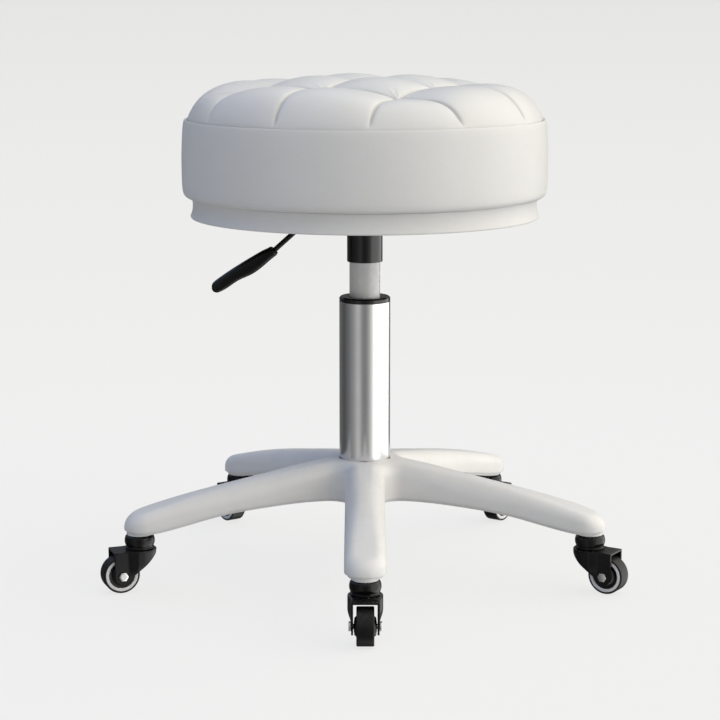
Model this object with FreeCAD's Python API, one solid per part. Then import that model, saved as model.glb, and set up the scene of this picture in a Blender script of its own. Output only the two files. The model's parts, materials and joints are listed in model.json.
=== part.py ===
"""Rolling stylist stool: a padded round seat on a gas lift, over a five-armed base with swivelling casters.

Sizes are in millimetres. The origin is on the floor, on the axis of the column, and +Z is up. Arm 1 points
along -Y, and the arms are numbered anticlockwise seen from above. The raising lever points along -X.
"""
import FreeCAD, Part
import os
from math import cos, radians, sin, tan

Vec = FreeCAD.Vector

# ---------------------------------------------------------------- sizes
# fits
RUNNING = 0.05          # radial clearance of a shaft that turns or slides in its hole
SLIDING = 0.08          # radial clearance of the two sliding parts of the gas lift
END_GAP = 0.4           # axial gap between faces that turn past each other

# casters
WHEEL_D = 35.5
TYRE_W = 16.0
TYRE_T = 1.75           # thickness of the black tread
RING_T = 3.2            # thickness of the light ring under the tread
AXLE_D = 5.0
AXLE_HEAD_T = 2.3
AXLE_HEAD_LEDGE = 1.5   # head wider than the axle, each side
FORK_T = 1.8            # sheet thickness of the fork's cheeks
FORK_ROOF_T = 2.0
FORK_ROOF_GAP = 3.9     # between the wheel and the roof over it
FORK_TOP_RIM = 1.5      # round plate wider than the swivel cap, each side
FORK_SIDE_GAP = 2.8     # between the tyre and each cheek
FORK_REACH = 8.0        # cheeks go this far past the axle
FORK_NOSE_H = 19.0      # height of the cone under the round plate
FORK_LEAD = 11.4        # leading edge of a cheek, ahead of the axle at its height
FORK_TOE = 5.0          # and where it meets the round bottom
DISH_RIM = 3.1          # flat of the wheel between its hub dish and its light ring
DISH_CHAMFER = 2.0
CASTER_TRAIL = 20.0     # swivel axis to axle
SWIVEL_GAP = 0.8        # between the fork and its cap
CAP_WALL = 3.0          # of the cap, outside the washer
CAP_H = 12.8
# cap outline, downwards: set back from its radius, and below its top
CAP_SIDE = ((1.7, 0.0), (0.5, 1.3), (0.0, 3.0), (0.0, 6.4), (0.9, 7.6), (1.5, 8.2), (1.5, 9.6),
            (0.4, 10.2))
CAP_FOOT_W = 0.7        # bevel round the cap's foot
CAP_FOOT_H = 2.2
STEM_D = 11.0
STEM_HEAD_LEDGE = 2.0
STEM_HEAD_T = 2.0
STEM_GRIP = 13.0        # length of stem held in the arm
SOCKET_T = 1.8
WASHER_RIM = 6.0        # width of the washer's ring
WASHER_T = 1.4
CASTER_REST = (-90.0, -32.0, 54.0, 126.0, 201.0)   # way each caster trails at rest

# star base
ARMS = 5
FIRST_ARM = -90.0
CASTER_CIRCLE_R = 228.5
ARM_W = 38.0
ARM_EDGE_R = 10.0       # rounding along the top of an arm
ARM_ROOT_R = 14.0       # rounding in the corner between two arms
ARM_WALL = 3.2
ARM_ROOF = 4.5
LIP_INSET = 1.8         # the lower lip stands back from the side
LIP_H = 3.2
CASTER_BOSS_WALL = 5.2  # plastic round the stem's socket
CASTER_BOSS_EDGE = 2.0  # arm goes this far past the boss
CASTER_BOSS_H = 3.5
# (share of the arm's length, height above the arm's underside at the caster)
ARM_TOP = ((0.0, 57.6), (0.10, 57.5), (0.165, 56.6), (0.235, 54.2), (0.43, 46.4), (0.60, 38.8),
           (0.85, 24.8), (0.95, 17.8), (1.02, 12.0))
ARM_LIP = ((0.10, 19.0), (0.25, 21.3), (0.43, 19.9), (0.64, 14.2), (0.725, 9.8), (0.84, 3.2),
           (0.90, 0.6), (1.02, 0.0))
RIB_T = 2.4
RIB_LIFT = 5.0          # ribs stop this far above the lip
RIBS_AT = (0.34, 0.50, 0.66)
HUB_WALL = 11.0         # outside the column
HUB_SLEEVE_T = 2.5
HUB_SLEEVE_DROP = 4.0   # sleeve ends this far below the hub's top

# column and gas lift
COLUMN_D = 50.0
COLUMN_T = 1.5
COLUMN_BARE_H = 156.0   # tube showing above the base
COLUMN_RECESS = 2.5     # foot of the tube above the hub's underside
FLOOR_T = 3.0
GUIDE_CAP_H = 4.8
GUIDE_CHAMFER = 1.2
GUIDE_L = 60.0
CYLINDER_D = 30.0
CYLINDER_T = 1.5
CYLINDER_BARE_H = 34.2  # showing between the column and the collar
HEAD_FLOOR = 4.0        # closed part of the head, under the button's bore
ROD_D = 10.0
ROD_TAIL = 3.0
SHOULDER_RIM = 4.0
SHOULDER_T = 2.6
BEARING_RIM = 8.0       # width of the bearing's ring
BEARING_H = 8.0
BEARING_WASHER_T = 1.5
STOP_RIM = 5.0
STOP_H = 6.0
LIFT_DOWN = 27.5        # travel left below the rest position
PISTON_H = 14.0
PISTON_LOW_ROOM = 6.0   # left over the rod guide with the seat right up
PISTON_TOP_ROOM = 14.5  # left under the head with the seat right down
ROD_GUIDE_L = 18.0
CLIP_RIM = 3.5
CLIP_T = 1.2
CLIP_GROOVE = 1.0
RELEASE_D = 8.0
RELEASE_L = 16.0
RELEASE_OUT = 4.1       # button standing out of the cylinder
RELEASE_ROOM = 4.0      # bore longer than the button
RELEASE_GAP = 0.5       # between the button and the lever

# seat mechanism
COLLAR_T = 2.35
COLLAR_H = 44.0
SLOT_SIDE_GAP = 1.5     # between the lever and the slot in the collar
SLOT_UNDER_GAP = 3.5
BOLT_PITCH = 100.0
BOLT_D = 6.0
BOLT_LEDGE = 2.0        # head wider than the bolt, each side
BOLT_HEAD_T = 4.0
PLATE_EDGE = 15.0       # plate goes this far past its bolts
PLATE_T = 3.0
PLATE_CORNER_R = 10.0
PLATE_WASHER_LEDGE = 2.0
PLATE_WASHER_T = 1.0
PIVOT_DROP = 6.0        # pivot below the plate
PIVOT_D = 4.0
PIVOT_OUT = 0.8         # pin standing out of each ear
EAR_W = 14.0
EAR_T = 2.5
EAR_SIDE_GAP = 3.7      # between the lever's rod and each ear
EAR_UNDER_PIVOT = 5.0
EAR_TO_COLLAR = 2.65

# lever
LEVER_D = 5.0
LEVER_BOSS_WALL = 3.0
LEVER_BOSS_GAP = 0.3    # between the boss and each ear
LEVER_TIP_X = -3.0
LEVER_LEVEL_L = 31.0    # from the pivot to the bend
LEVER_BEND_R = 9.0
LEVER_SLOPE = 42.0
GRIP_START = 38.0       # from the bend to the grip, along the rod
GRIP_HOLD = 14.0        # rod inside the grip
GRIP_SLOPE = 31.0
GRIP_W = 14.0
GRIP_ROUND = 2.0
# side outline of the grip: along it, and up from its axis
GRIP_SIDE = ((0.9, -5.0), (5.0, 4.7), (24.0, 5.4), (44.0, 5.2), (70.0, 3.6), (75.0, -1.6), (74.0, -6.6),
             (66.0, -8.5), (47.0, -7.6), (33.0, -9.5), (15.6, -7.4))

# seat
SEAT_D = 354.0
BOARD_SET_BACK = 12.0
BOARD_T = 17.0
T_NUT_WALL = 1.0
T_NUT_BARREL_L = 12.0
T_NUT_FLANGE = 5.0      # flange wider than the barrel, each side
T_NUT_T = 1.2
DUST_GAP = 3.0          # between the plate's corners and the dust cover
DUST_T = 0.8
FOAM_H = 72.0
BAND_T = 9.0            # side band at its thickest
BAND_LIP = 2.5          # side band stands this far over the foam
# side band, upwards: set back from the seat's radius, and share of the band's height
BAND_SIDE = ((8.0, 0.0), (3.8, 0.035), (1.0, 0.114), (0.1, 0.268), (0.0, 0.456), (0.5, 0.671), (2.2, 0.886),
             (4.2, 1.0))
TOP_SET_BACK = 5.5
SEAT_CROWN = 47.0       # crown above the foam
# dome, outwards: share of its radius, and share of the drop from crown to rim
TOP_DOME = ((0.0, 0.0), (0.45, 0.036), (0.70, 0.124), (0.88, 0.292), (0.96, 0.506), (0.992, 0.764),
            (1.0, 1.0))
BASE_BAND_DROP = 2.4    # base band goes this far below the board
# base band, downwards: thickness, and share of its height
BASE_BAND_SIDE = ((2.6, 1.0), (1.8, 0.742), (2.2, 0.381), (3.8, 0.082), (3.0, 0.0))

# ---------------------------------------------------------------- sizes that follow
AXLE_HEAD_FLATS = AXLE_D + 2 * AXLE_HEAD_LEDGE
FORK_GAP_W = TYRE_W + 2 * FORK_SIDE_GAP
STEM_HEAD_D = STEM_D + 2 * STEM_HEAD_LEDGE
WASHER_D = STEM_D + 2 * WASHER_RIM
CAP_D = WASHER_D + 2 * CAP_WALL
FORK_TOP_D = CAP_D + 2 * FORK_TOP_RIM
SOCKET_D = STEM_D + 2 * SOCKET_T
CASTER_BOSS_D = SOCKET_D + 2 * CASTER_BOSS_WALL
HUB_D = COLUMN_D + 2 * HUB_WALL
HUB_SLEEVE_D = COLUMN_D + 2 * HUB_SLEEVE_T
COLUMN_BORE_D = COLUMN_D - 2 * COLUMN_T
CYLINDER_BORE_D = CYLINDER_D - 2 * CYLINDER_T
SHOULDER_D = ROD_D + 2 * SHOULDER_RIM
BEARING_D = ROD_D + 2 * BEARING_RIM
STOP_D = ROD_D + 2 * STOP_RIM
CLIP_D = ROD_D + 2 * CLIP_RIM
RELEASE_BORE_L = RELEASE_L + RELEASE_ROOM
HEAD_L = RELEASE_BORE_L + HEAD_FLOOR
COLLAR_D = CYLINDER_D + 2 * COLLAR_T
COLLAR_SLOT_W = LEVER_D + 2 * SLOT_SIDE_GAP
COLLAR_SLOT_H = PIVOT_DROP + LEVER_D / 2 + SLOT_UNDER_GAP
BOLT_FLATS = BOLT_D + 2 * BOLT_LEDGE
PLATE_W = BOLT_PITCH + 2 * PLATE_EDGE
PLATE_WASHER_D = BOLT_FLATS + 2 * PLATE_WASHER_LEDGE
EAR_GAP = LEVER_D + 2 * EAR_SIDE_GAP
EAR_DROP = PIVOT_DROP + EAR_UNDER_PIVOT
PIVOT_X = -(COLLAR_D / 2 + EAR_TO_COLLAR + EAR_W / 2)
LEVER_BOSS_D = PIVOT_D + 2 * LEVER_BOSS_WALL
LEVER_BEND_X = PIVOT_X - LEVER_LEVEL_L
LEVER_RUN = GRIP_START + GRIP_HOLD
BOARD_D = SEAT_D - 2 * BOARD_SET_BACK
FOAM_D = SEAT_D - 2 * BAND_T
SEAT_TOP_D = SEAT_D - 2 * TOP_SET_BACK
BAND_TOP_H = FOAM_H + BAND_LIP
T_NUT_BARREL_D = BOLT_D + 2 * T_NUT_WALL
T_NUT_D = T_NUT_BARREL_D + 2 * T_NUT_FLANGE
DUST_HOLE_D = PLATE_W * 2 ** 0.5 + 2 * DUST_GAP

# ---------------------------------------------------------------- heights that follow
AXLE_Z = WHEEL_D / 2
ROOF_Z = WHEEL_D + FORK_ROOF_GAP
FORK_TOP_Z = ROOF_Z + FORK_ROOF_T
CAP_Z = FORK_TOP_Z + SWIVEL_GAP
BOSS_Z = CAP_Z + CAP_H
TIP_Z = BOSS_Z + CASTER_BOSS_H
TIP_R = CASTER_CIRCLE_R + CASTER_BOSS_D / 2 + CASTER_BOSS_EDGE
HUB_TOP_Z = TIP_Z + ARM_TOP[1][1]
HUB_LOW_Z = TIP_Z + ARM_LIP[0][1]
COLUMN_Z = HUB_LOW_Z + COLUMN_RECESS
COLUMN_TOP_Z = HUB_TOP_Z + COLUMN_BARE_H
BEARING_Z = COLUMN_Z + FLOOR_T
SHOULDER_Z = BEARING_Z + BEARING_H + END_GAP
STOP_Z = SHOULDER_Z + SHOULDER_T
CYLINDER_Z = STOP_Z + STOP_H + LIFT_DOWN + END_GAP
COLLAR_Z = COLUMN_TOP_Z + GUIDE_CAP_H + CYLINDER_BARE_H
PLATE_Z = COLLAR_Z + COLLAR_H
PIVOT_Z = PLATE_Z - PIVOT_DROP
CYLINDER_TOP_Z = PIVOT_Z - LEVER_D / 2 - RELEASE_GAP - RELEASE_OUT
BOARD_Z = PLATE_Z + PLATE_T
FOAM_Z = BOARD_Z + BOARD_T
PISTON_Z = CYLINDER_TOP_Z - HEAD_L - PISTON_TOP_ROOM - LIFT_DOWN - PISTON_H
LIFT_UP = PISTON_Z - PISTON_LOW_ROOM - CYLINDER_Z - ROD_GUIDE_L


# ---------------------------------------------------------------- helpers
def cylinder(diameter, z0, z1):
    return Part.makeCylinder(diameter / 2, z1 - z0, Vec(0, 0, z0))


def tube(outer, inner, z0, z1):
    return cylinder(outer, z0, z1).cut(cylinder(inner, z0, z1))


def revolved(points):
    """Solid of revolution about Z from corners given as (radius, height)."""
    corners = [Vec(r, 0, z) for r, z in points]
    outline = Part.makePolygon(corners + corners[:1])
    return Part.Face(outline).revolve(Vec(0, 0, 0), Vec(0, 0, 1), 360)


def prism(points, z0, z1):
    corners = [Vec(x, y, z0) for x, y in points]
    return Part.Face(Part.makePolygon(corners + corners[:1])).extrude(Vec(0, 0, z1 - z0))


def side_plate(points, y0, y1):
    """Plate standing across Y, from a side outline given as (x, z)."""
    corners = [Vec(x, y0, z) for x, z in points]
    return Part.Face(Part.makePolygon(corners + corners[:1])).extrude(Vec(0, y1 - y0, 0))


def hexagon(flats, z0, z1):
    corner = flats / 2 / cos(radians(30))
    points = [(corner * cos(radians(60 * k)), corner * sin(radians(60 * k))) for k in range(6)]
    return prism(points, z0, z1)


def box(x0, x1, y0, y1, z0, z1):
    return Part.makeBox(x1 - x0, y1 - y0, z1 - z0, Vec(x0, y0, z0))


def turned(shape, angle):
    copy = shape.copy()
    copy.rotate(Vec(0, 0, 0), Vec(0, 0, 1), angle)
    return copy


def moved(shape, x, y, z=0.0):
    copy = shape.copy()
    copy.translate(Vec(x, y, z))
    return copy


def on_axle(shape):
    """Stand a shape made about Z on the axle's line, which runs along Y."""
    copy = shape.copy()
    copy.rotate(Vec(0, 0, 0), Vec(1, 0, 0), 90)
    return moved(copy, CASTER_TRAIL, 0, AXLE_Z)


def arm_angle(k):
    return FIRST_ARM + k * 360.0 / ARMS


def at_arm(shape, k):
    """Put a shape made round the origin on the swivel axis of caster k."""
    angle = radians(arm_angle(k))
    return moved(shape, CASTER_CIRCLE_R * cos(angle), CASTER_CIRCLE_R * sin(angle))


def at_caster(shape, k):
    return at_arm(turned(shape, CASTER_REST[k]), k)


# ---------------------------------------------------------------- star base
def arm_curve(points, raised=0.0):
    curve = Part.BSplineCurve()
    curve.interpolate([Vec(share * TIP_R, 0, TIP_Z + raised + height) for share, height in points])
    return curve.toShape()


def star_face(half_width, tip_r, root_r, z):
    """Flat outline of the whole star, with round tips and rounded corners between the arms."""
    half_turn = radians(180.0 / ARMS)
    root = (half_width + root_r) / tan(half_turn)
    corner = (half_width + root_r) / sin(half_turn) - root_r
    shoulder = tip_r - half_width
    edges = []
    for k in range(ARMS):
        here = radians(arm_angle(k))
        there = radians(arm_angle(k + 1))
        along, across = Vec(cos(here), sin(here), 0), Vec(-sin(here), cos(here), 0)
        next_along, next_across = Vec(cos(there), sin(there), 0), Vec(-sin(there), cos(there), 0)
        middle = Vec(cos(here + half_turn), sin(here + half_turn), 0)
        up = Vec(0, 0, z)
        right_root = up + along * root - across * half_width
        right_end = up + along * shoulder - across * half_width
        left_end = up + along * shoulder + across * half_width
        left_root = up + along * root + across * half_width
        next_root = up + next_along * root - next_across * half_width
        edges.append(Part.LineSegment(right_root, right_end).toShape())
        edges.append(Part.Arc(right_end, up + along * tip_r, left_end).toShape())
        edges.append(Part.LineSegment(left_end, left_root).toShape())
        edges.append(Part.Arc(left_root, up + middle * corner, next_root).toShape())
    return Part.Face(Part.Wire(edges))


def arm_layer(top, low, inner_r=0.0):
    """Everything between two arm curves, as one turned solid."""
    top_in, top_out = top.Vertexes[0].Point, top.Vertexes[-1].Point
    low_in, low_out = low.Vertexes[0].Point, low.Vertexes[-1].Point
    edges = [top, Part.LineSegment(top_out, low_out).toShape(), low]
    low_axis = Vec(0, 0, low_in.z)
    edges.append(Part.LineSegment(low_in, low_axis).toShape())
    edges.append(Part.LineSegment(low_axis, top_in).toShape())
    solid = Part.Face(Part.Wire(edges)).revolve(Vec(0, 0, 0), Vec(0, 0, 1), 360)
    if inner_r:
        solid = solid.cut(Part.makeCylinder(inner_r, 400, Vec(0, 0, -100)))
    return solid


def star_skin():
    """Upper body of the base with its rounded top edges."""
    top = arm_curve(ARM_TOP)
    layer = arm_layer(top, arm_curve(ARM_LIP, LIP_H))
    outline = star_face(ARM_W / 2, TIP_R, ARM_ROOT_R, TIP_Z - 20)
    skin = layer.common(outline.extrude(Vec(0, 0, 150)))
    roof = top.revolve(Vec(0, 0, 0), Vec(0, 0, 1), 360)
    clear_of_hub = ARM_W * 0.9
    rounded = []
    for edge in skin.Edges:
        middle = edge.valueAt((edge.FirstParameter + edge.LastParameter) / 2)
        on_roof = roof.distToShape(Part.Vertex(middle))[0] < 0.01
        if on_roof and edge.Length > 3 and (middle.x ** 2 + middle.y ** 2) ** 0.5 > clear_of_hub:
            rounded.append(edge)
    return skin.makeFillet(ARM_EDGE_R, rounded)


def star_lip():
    """Lower lip, set back from the sides."""
    layer = arm_layer(arm_curve(ARM_LIP, LIP_H + 4), arm_curve(ARM_LIP))
    half = ARM_W / 2 - LIP_INSET
    outline = star_face(half, TIP_R - LIP_INSET, ARM_ROOT_R + LIP_INSET, TIP_Z - 20)
    return layer.common(outline.extrude(Vec(0, 0, 150)))


def arm_ribs():
    """One rib along each arm and three across it."""
    ribs = []
    half = ARM_W / 2
    for k in range(ARMS):
        along = box(HUB_D / 2 - 2, CASTER_CIRCLE_R, -RIB_T / 2, RIB_T / 2, 0, 200)
        ribs.append(turned(along, arm_angle(k)))
        for share in RIBS_AT:
            x = share * TIP_R
            ribs.append(turned(box(x - RIB_T / 2, x + RIB_T / 2, -half, half, 0, 200), arm_angle(k)))
    bed = arm_layer(arm_curve(ARM_TOP), arm_curve(ARM_LIP, RIB_LIFT))
    return ribs[0].multiFuse(ribs[1:]).common(bed)


def star_pocket():
    """Hollow under the arms."""
    half = ARM_W / 2 - LIP_INSET - ARM_WALL
    roof = arm_curve(ARM_TOP, -ARM_ROOF)
    floor = arm_curve(ARM_LIP, -30.0)
    hollow = arm_layer(roof, floor, HUB_D / 2)
    inset = LIP_INSET + ARM_WALL
    outline = star_face(half, TIP_R - inset, ARM_ROOT_R + inset, TIP_Z - 40)
    pocket = hollow.common(outline.extrude(Vec(0, 0, 200)))
    pocket = pocket.cut(arm_ribs())
    for k in range(ARMS):
        pocket = pocket.cut(at_arm(cylinder(CASTER_BOSS_D, 0, 200), k))
    return pocket


def star_base():
    base = star_skin().fuse(star_lip())
    base = base.cut(star_pocket())
    for k in range(ARMS):
        base = base.fuse(at_arm(cylinder(CASTER_BOSS_D, BOSS_Z, TIP_Z + 2), k))
    for k in range(ARMS):
        base = base.cut(at_arm(cylinder(SOCKET_D, BOSS_Z - 1, BOSS_Z + STEM_GRIP), k))
    base = base.cut(cylinder(COLUMN_D, COLUMN_Z - 10, HUB_TOP_Z + 10))
    return base.cut(cylinder(HUB_SLEEVE_D, HUB_LOW_Z - 10, HUB_TOP_Z - HUB_SLEEVE_DROP))


def hub_sleeve():
    return tube(HUB_SLEEVE_D, COLUMN_D, COLUMN_Z, HUB_TOP_Z - HUB_SLEEVE_DROP)


def caster_sockets():
    one = tube(SOCKET_D, STEM_D, BOSS_Z, BOSS_Z + STEM_GRIP)
    return Part.makeCompound([at_arm(one, k) for k in range(ARMS)])


# ---------------------------------------------------------------- casters
def caster_stems():
    """Stems with the head that holds each fork up."""
    head_z = ROOF_Z - END_GAP - STEM_HEAD_T
    one = cylinder(STEM_D, head_z, BOSS_Z + STEM_GRIP).fuse(cylinder(STEM_HEAD_D, head_z, ROOF_Z - END_GAP))
    return Part.makeCompound([at_arm(one, k) for k in range(ARMS)])


def swivel_cap(k):
    """Round-shouldered ring with a shallow groove just above its foot."""
    r = CAP_D / 2
    side = [(r - inset, BOSS_Z - drop) for inset, drop in CAP_SIDE]
    foot = [(r, CAP_Z + CAP_FOOT_H), (r - CAP_FOOT_W, CAP_Z), (STEM_D / 2, CAP_Z)]
    cap = revolved([(STEM_D / 2, BOSS_Z)] + side + foot)
    seat_z = FORK_TOP_Z + END_GAP + WASHER_T
    return at_arm(cap.cut(cylinder(WASHER_D, CAP_Z, seat_z)), k)


def caster_washers():
    z0 = FORK_TOP_Z + END_GAP
    one = tube(WASHER_D, STEM_D, z0, z0 + WASHER_T)
    return Part.makeCompound([at_arm(one, k) for k in range(ARMS)])


def fork_body(top_r, cheek_y, roof_z, back_x):
    """Solid shape of the fork, used once for its outside and once, smaller, for its inside."""
    neck_z = roof_z - FORK_NOSE_H
    nose = Part.makeCone(cheek_y, top_r, roof_z - neck_z, Vec(0, 0, neck_z))
    low = Part.makeCylinder(cheek_y, neck_z, Vec(0, 0, 0))
    cheeks = box(0, back_x, -cheek_y, cheek_y, 0, roof_z)
    return nose.multiFuse([low, cheeks])


def caster_fork(k):
    inner_y = FORK_GAP_W / 2
    outer_y = inner_y + FORK_T
    top_r = FORK_TOP_D / 2
    back_x = CASTER_TRAIL + FORK_REACH
    outside = fork_body(top_r, outer_y, ROOF_Z, back_x)
    inside = fork_body(top_r - FORK_T, inner_y, ROOF_Z, back_x + 20)
    shell = outside.cut(inside)
    lead_x = CASTER_TRAIL - FORK_LEAD
    low_x = CASTER_TRAIL - FORK_TOE
    low_z = AXLE_Z - (FORK_REACH ** 2 - FORK_TOE ** 2) ** 0.5
    side = ((-top_r - 1, ROOF_Z), (-top_r + 1, ROOF_Z - 1), (lead_x, AXLE_Z), (low_x, low_z),
            (CASTER_TRAIL, AXLE_Z), (back_x, AXLE_Z), (back_x, ROOF_Z))
    keep = side_plate(side, -top_r - 1, top_r + 1)
    keep = keep.fuse(on_axle(Part.makeCylinder(FORK_REACH, 2 * top_r + 2, Vec(0, 0, -top_r - 1))))
    fork = shell.common(keep)
    roof = cylinder(FORK_TOP_D, ROOF_Z, FORK_TOP_Z)
    roof = roof.fuse(box(0, back_x, -outer_y, outer_y, ROOF_Z, FORK_TOP_Z))
    fork = fork.fuse(roof)
    fork = fork.cut(cylinder(STEM_D + 2 * RUNNING, ROOF_Z - 1, FORK_TOP_Z + 1))
    fork = fork.cut(on_axle(Part.makeCylinder(AXLE_D / 2, 80, Vec(0, 0, -40))))
    return at_caster(fork.removeSplitter(), k)


def caster_axle(k):
    """Bolt through the fork with a nut on its far end."""
    face = FORK_GAP_W / 2 + FORK_T
    end = face + AXLE_HEAD_T
    head = hexagon(AXLE_HEAD_FLATS, face, end)
    shank = cylinder(AXLE_D, -end, face)
    nut = hexagon(AXLE_HEAD_FLATS, -end, -face).cut(cylinder(AXLE_D, -end - 1, face))
    group = Part.makeCompound([head.fuse(shank), nut])
    return at_caster(on_axle(group), k)


def wheel_core(k):
    hub_y = FORK_GAP_W / 2 - END_GAP
    dish_y = TYRE_W / 2 - 1.0
    rim_r = WHEEL_D / 2 - TYRE_T - RING_T
    bore_r = AXLE_D / 2 + RUNNING
    dish_r = rim_r - DISH_RIM
    half = ((bore_r, hub_y), (dish_r - DISH_CHAMFER, hub_y), (dish_r, hub_y - DISH_CHAMFER), (dish_r, dish_y),
            (rim_r, dish_y))
    outline = list(half) + [(r, -z) for r, z in reversed(half)]
    return at_caster(on_axle(revolved(outline)), k)


def wheel_ring(k):
    outer_d = WHEEL_D - 2 * TYRE_T
    half = TYRE_W / 2 - 0.1
    return at_caster(on_axle(tube(outer_d, outer_d - 2 * RING_T, -half, half)), k)


def tyre(k):
    r, inner, half, edge = WHEEL_D / 2, WHEEL_D / 2 - TYRE_T, TYRE_W / 2, 0.6
    outline = ((inner, half), (r - edge, half), (r, half - edge), (r, edge - half), (r - edge, -half),
               (inner, -half))
    return at_caster(on_axle(revolved(outline)), k)


# ---------------------------------------------------------------- column and gas lift
def column_tube():
    return tube(COLUMN_D, COLUMN_BORE_D, COLUMN_Z, COLUMN_TOP_Z)


def column_floor():
    """Plate that closes the tube and carries the rod."""
    return tube(COLUMN_BORE_D, ROD_D + 2 * RUNNING, COLUMN_Z, COLUMN_Z + FLOOR_T)


def guide_sleeve():
    """Plastic guide in the tube, with the collar that shows on top."""
    r, top = COLUMN_D / 2, COLUMN_TOP_Z + GUIDE_CAP_H
    collar = revolved(((0, COLUMN_TOP_Z), (r, COLUMN_TOP_Z), (r, top - GUIDE_CHAMFER),
                       (r - GUIDE_CHAMFER, top), (0, top)))
    body = cylinder(COLUMN_BORE_D, COLUMN_TOP_Z - GUIDE_L, COLUMN_TOP_Z)
    bore = cylinder(CYLINDER_D + 2 * SLIDING, COLUMN_TOP_Z - GUIDE_L - 1, COLUMN_TOP_Z + GUIDE_CAP_H + 1)
    return collar.fuse(body).cut(bore)


def thrust_bearing():
    """Two washers with the ball cage between them."""
    z0, z1 = BEARING_Z, BEARING_Z + BEARING_H
    inner = ROD_D + 1.2
    low = tube(BEARING_D, inner, z0, z0 + BEARING_WASHER_T)
    high = tube(BEARING_D, inner, z1 - BEARING_WASHER_T, z1)
    cage = tube(BEARING_D - 2, inner + 2, z0 + BEARING_WASHER_T, z1 - BEARING_WASHER_T)
    return Part.makeCompound([low, cage, high])


def piston_rod():
    tail_z = COLUMN_Z - ROD_TAIL
    rod = cylinder(ROD_D, tail_z, PISTON_Z + PISTON_H)
    rod = rod.fuse(cylinder(SHOULDER_D, SHOULDER_Z, STOP_Z))
    clip_z = COLUMN_Z - END_GAP - CLIP_T
    return rod.cut(tube(ROD_D + 2, ROD_D - 2 * CLIP_GROOVE, clip_z, clip_z + CLIP_T))


def rod_clip():
    clip_z = COLUMN_Z - END_GAP - CLIP_T
    ring = tube(CLIP_D, ROD_D - 2 * CLIP_GROOVE, clip_z, clip_z + CLIP_T)
    return ring.cut(box(0, CLIP_D, -2.5, 2.5, clip_z - 1, clip_z + CLIP_T + 1))


def bump_stop():
    return tube(STOP_D, ROD_D, STOP_Z, STOP_Z + STOP_H)


def gas_piston():
    return tube(CYLINDER_BORE_D - 2 * SLIDING, ROD_D, PISTON_Z, PISTON_Z + PISTON_H)


def gas_cylinder():
    """Pressure tube with its closed head and the bore of the release button."""
    shell = tube(CYLINDER_D, CYLINDER_BORE_D, CYLINDER_Z, CYLINDER_TOP_Z)
    head = cylinder(CYLINDER_BORE_D, CYLINDER_TOP_Z - HEAD_L, CYLINDER_TOP_Z)
    bore = cylinder(RELEASE_D + 2 * RUNNING, CYLINDER_TOP_Z - RELEASE_BORE_L, CYLINDER_TOP_Z + 1)
    return shell.fuse(head).cut(bore)


def rod_guide():
    return tube(CYLINDER_BORE_D, ROD_D + 2 * RUNNING, CYLINDER_Z, CYLINDER_Z + ROD_GUIDE_L)


def release_pin():
    top = CYLINDER_TOP_Z + RELEASE_OUT
    return cylinder(RELEASE_D, top - RELEASE_L, top)


# ---------------------------------------------------------------- seat mechanism and lever
def taper_socket():
    """Collar that grips the gas lift, slotted at the top for the lever."""
    collar = tube(COLLAR_D, CYLINDER_D, COLLAR_Z, PLATE_Z)
    half = COLLAR_SLOT_W / 2
    return collar.cut(box(-COLLAR_D, 0, -half, half, PLATE_Z - COLLAR_SLOT_H, PLATE_Z))


def bolt_places():
    half = BOLT_PITCH / 2
    return [(x, y) for x in (-half, half) for y in (-half, half)]


def mechanism_plate():
    """Plate under the seat with two ears for the lever's pivot."""
    half = PLATE_W / 2
    plate = box(-half, half, -half, half, PLATE_Z, PLATE_Z + PLATE_T)
    upright = [e for e in plate.Edges if abs(e.Vertexes[0].Z - e.Vertexes[1].Z) > PLATE_T / 2]
    plate = plate.makeFillet(PLATE_CORNER_R, upright)
    for side in (-1, 1):
        near, far = sorted((side * EAR_GAP / 2, side * (EAR_GAP / 2 + EAR_T)))
        ear = box(PIVOT_X - EAR_W / 2, PIVOT_X + EAR_W / 2, near, far, PLATE_Z - EAR_DROP, PLATE_Z)
        plate = plate.fuse(ear)
    pin = Part.makeCylinder(PIVOT_D / 2, PLATE_W, Vec(PIVOT_X, -half, PIVOT_Z), Vec(0, 1, 0))
    plate = plate.cut(pin)
    for x, y in bolt_places():
        plate = plate.cut(moved(cylinder(BOLT_D, PLATE_Z - 1, PLATE_Z + PLATE_T + 1), x, y))
    return plate


def lever_pivot_pin():
    half = EAR_GAP / 2 + EAR_T + PIVOT_OUT
    return Part.makeCylinder(PIVOT_D / 2, 2 * half, Vec(PIVOT_X, -half, PIVOT_Z), Vec(0, 1, 0))


def plate_bolts():
    """Hexagon-head screws up through the plate."""
    head_z = PLATE_Z - PLATE_WASHER_T - BOLT_HEAD_T
    one = hexagon(BOLT_FLATS, head_z, head_z + BOLT_HEAD_T)
    one = one.fuse(cylinder(BOLT_D, head_z, FOAM_Z - T_NUT_T))
    return Part.makeCompound([moved(one, x, y) for x, y in bolt_places()])


def plate_washers():
    one = tube(PLATE_WASHER_D, BOLT_D, PLATE_Z - PLATE_WASHER_T, PLATE_Z)
    return Part.makeCompound([moved(one, x, y) for x, y in bolt_places()])


def t_nuts():
    one = tube(T_NUT_BARREL_D, BOLT_D, FOAM_Z - T_NUT_BARREL_L, FOAM_Z)
    one = one.fuse(tube(T_NUT_D, BOLT_D, FOAM_Z - T_NUT_T, FOAM_Z))
    return Part.makeCompound([moved(one, x, y) for x, y in bolt_places()])


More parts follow.
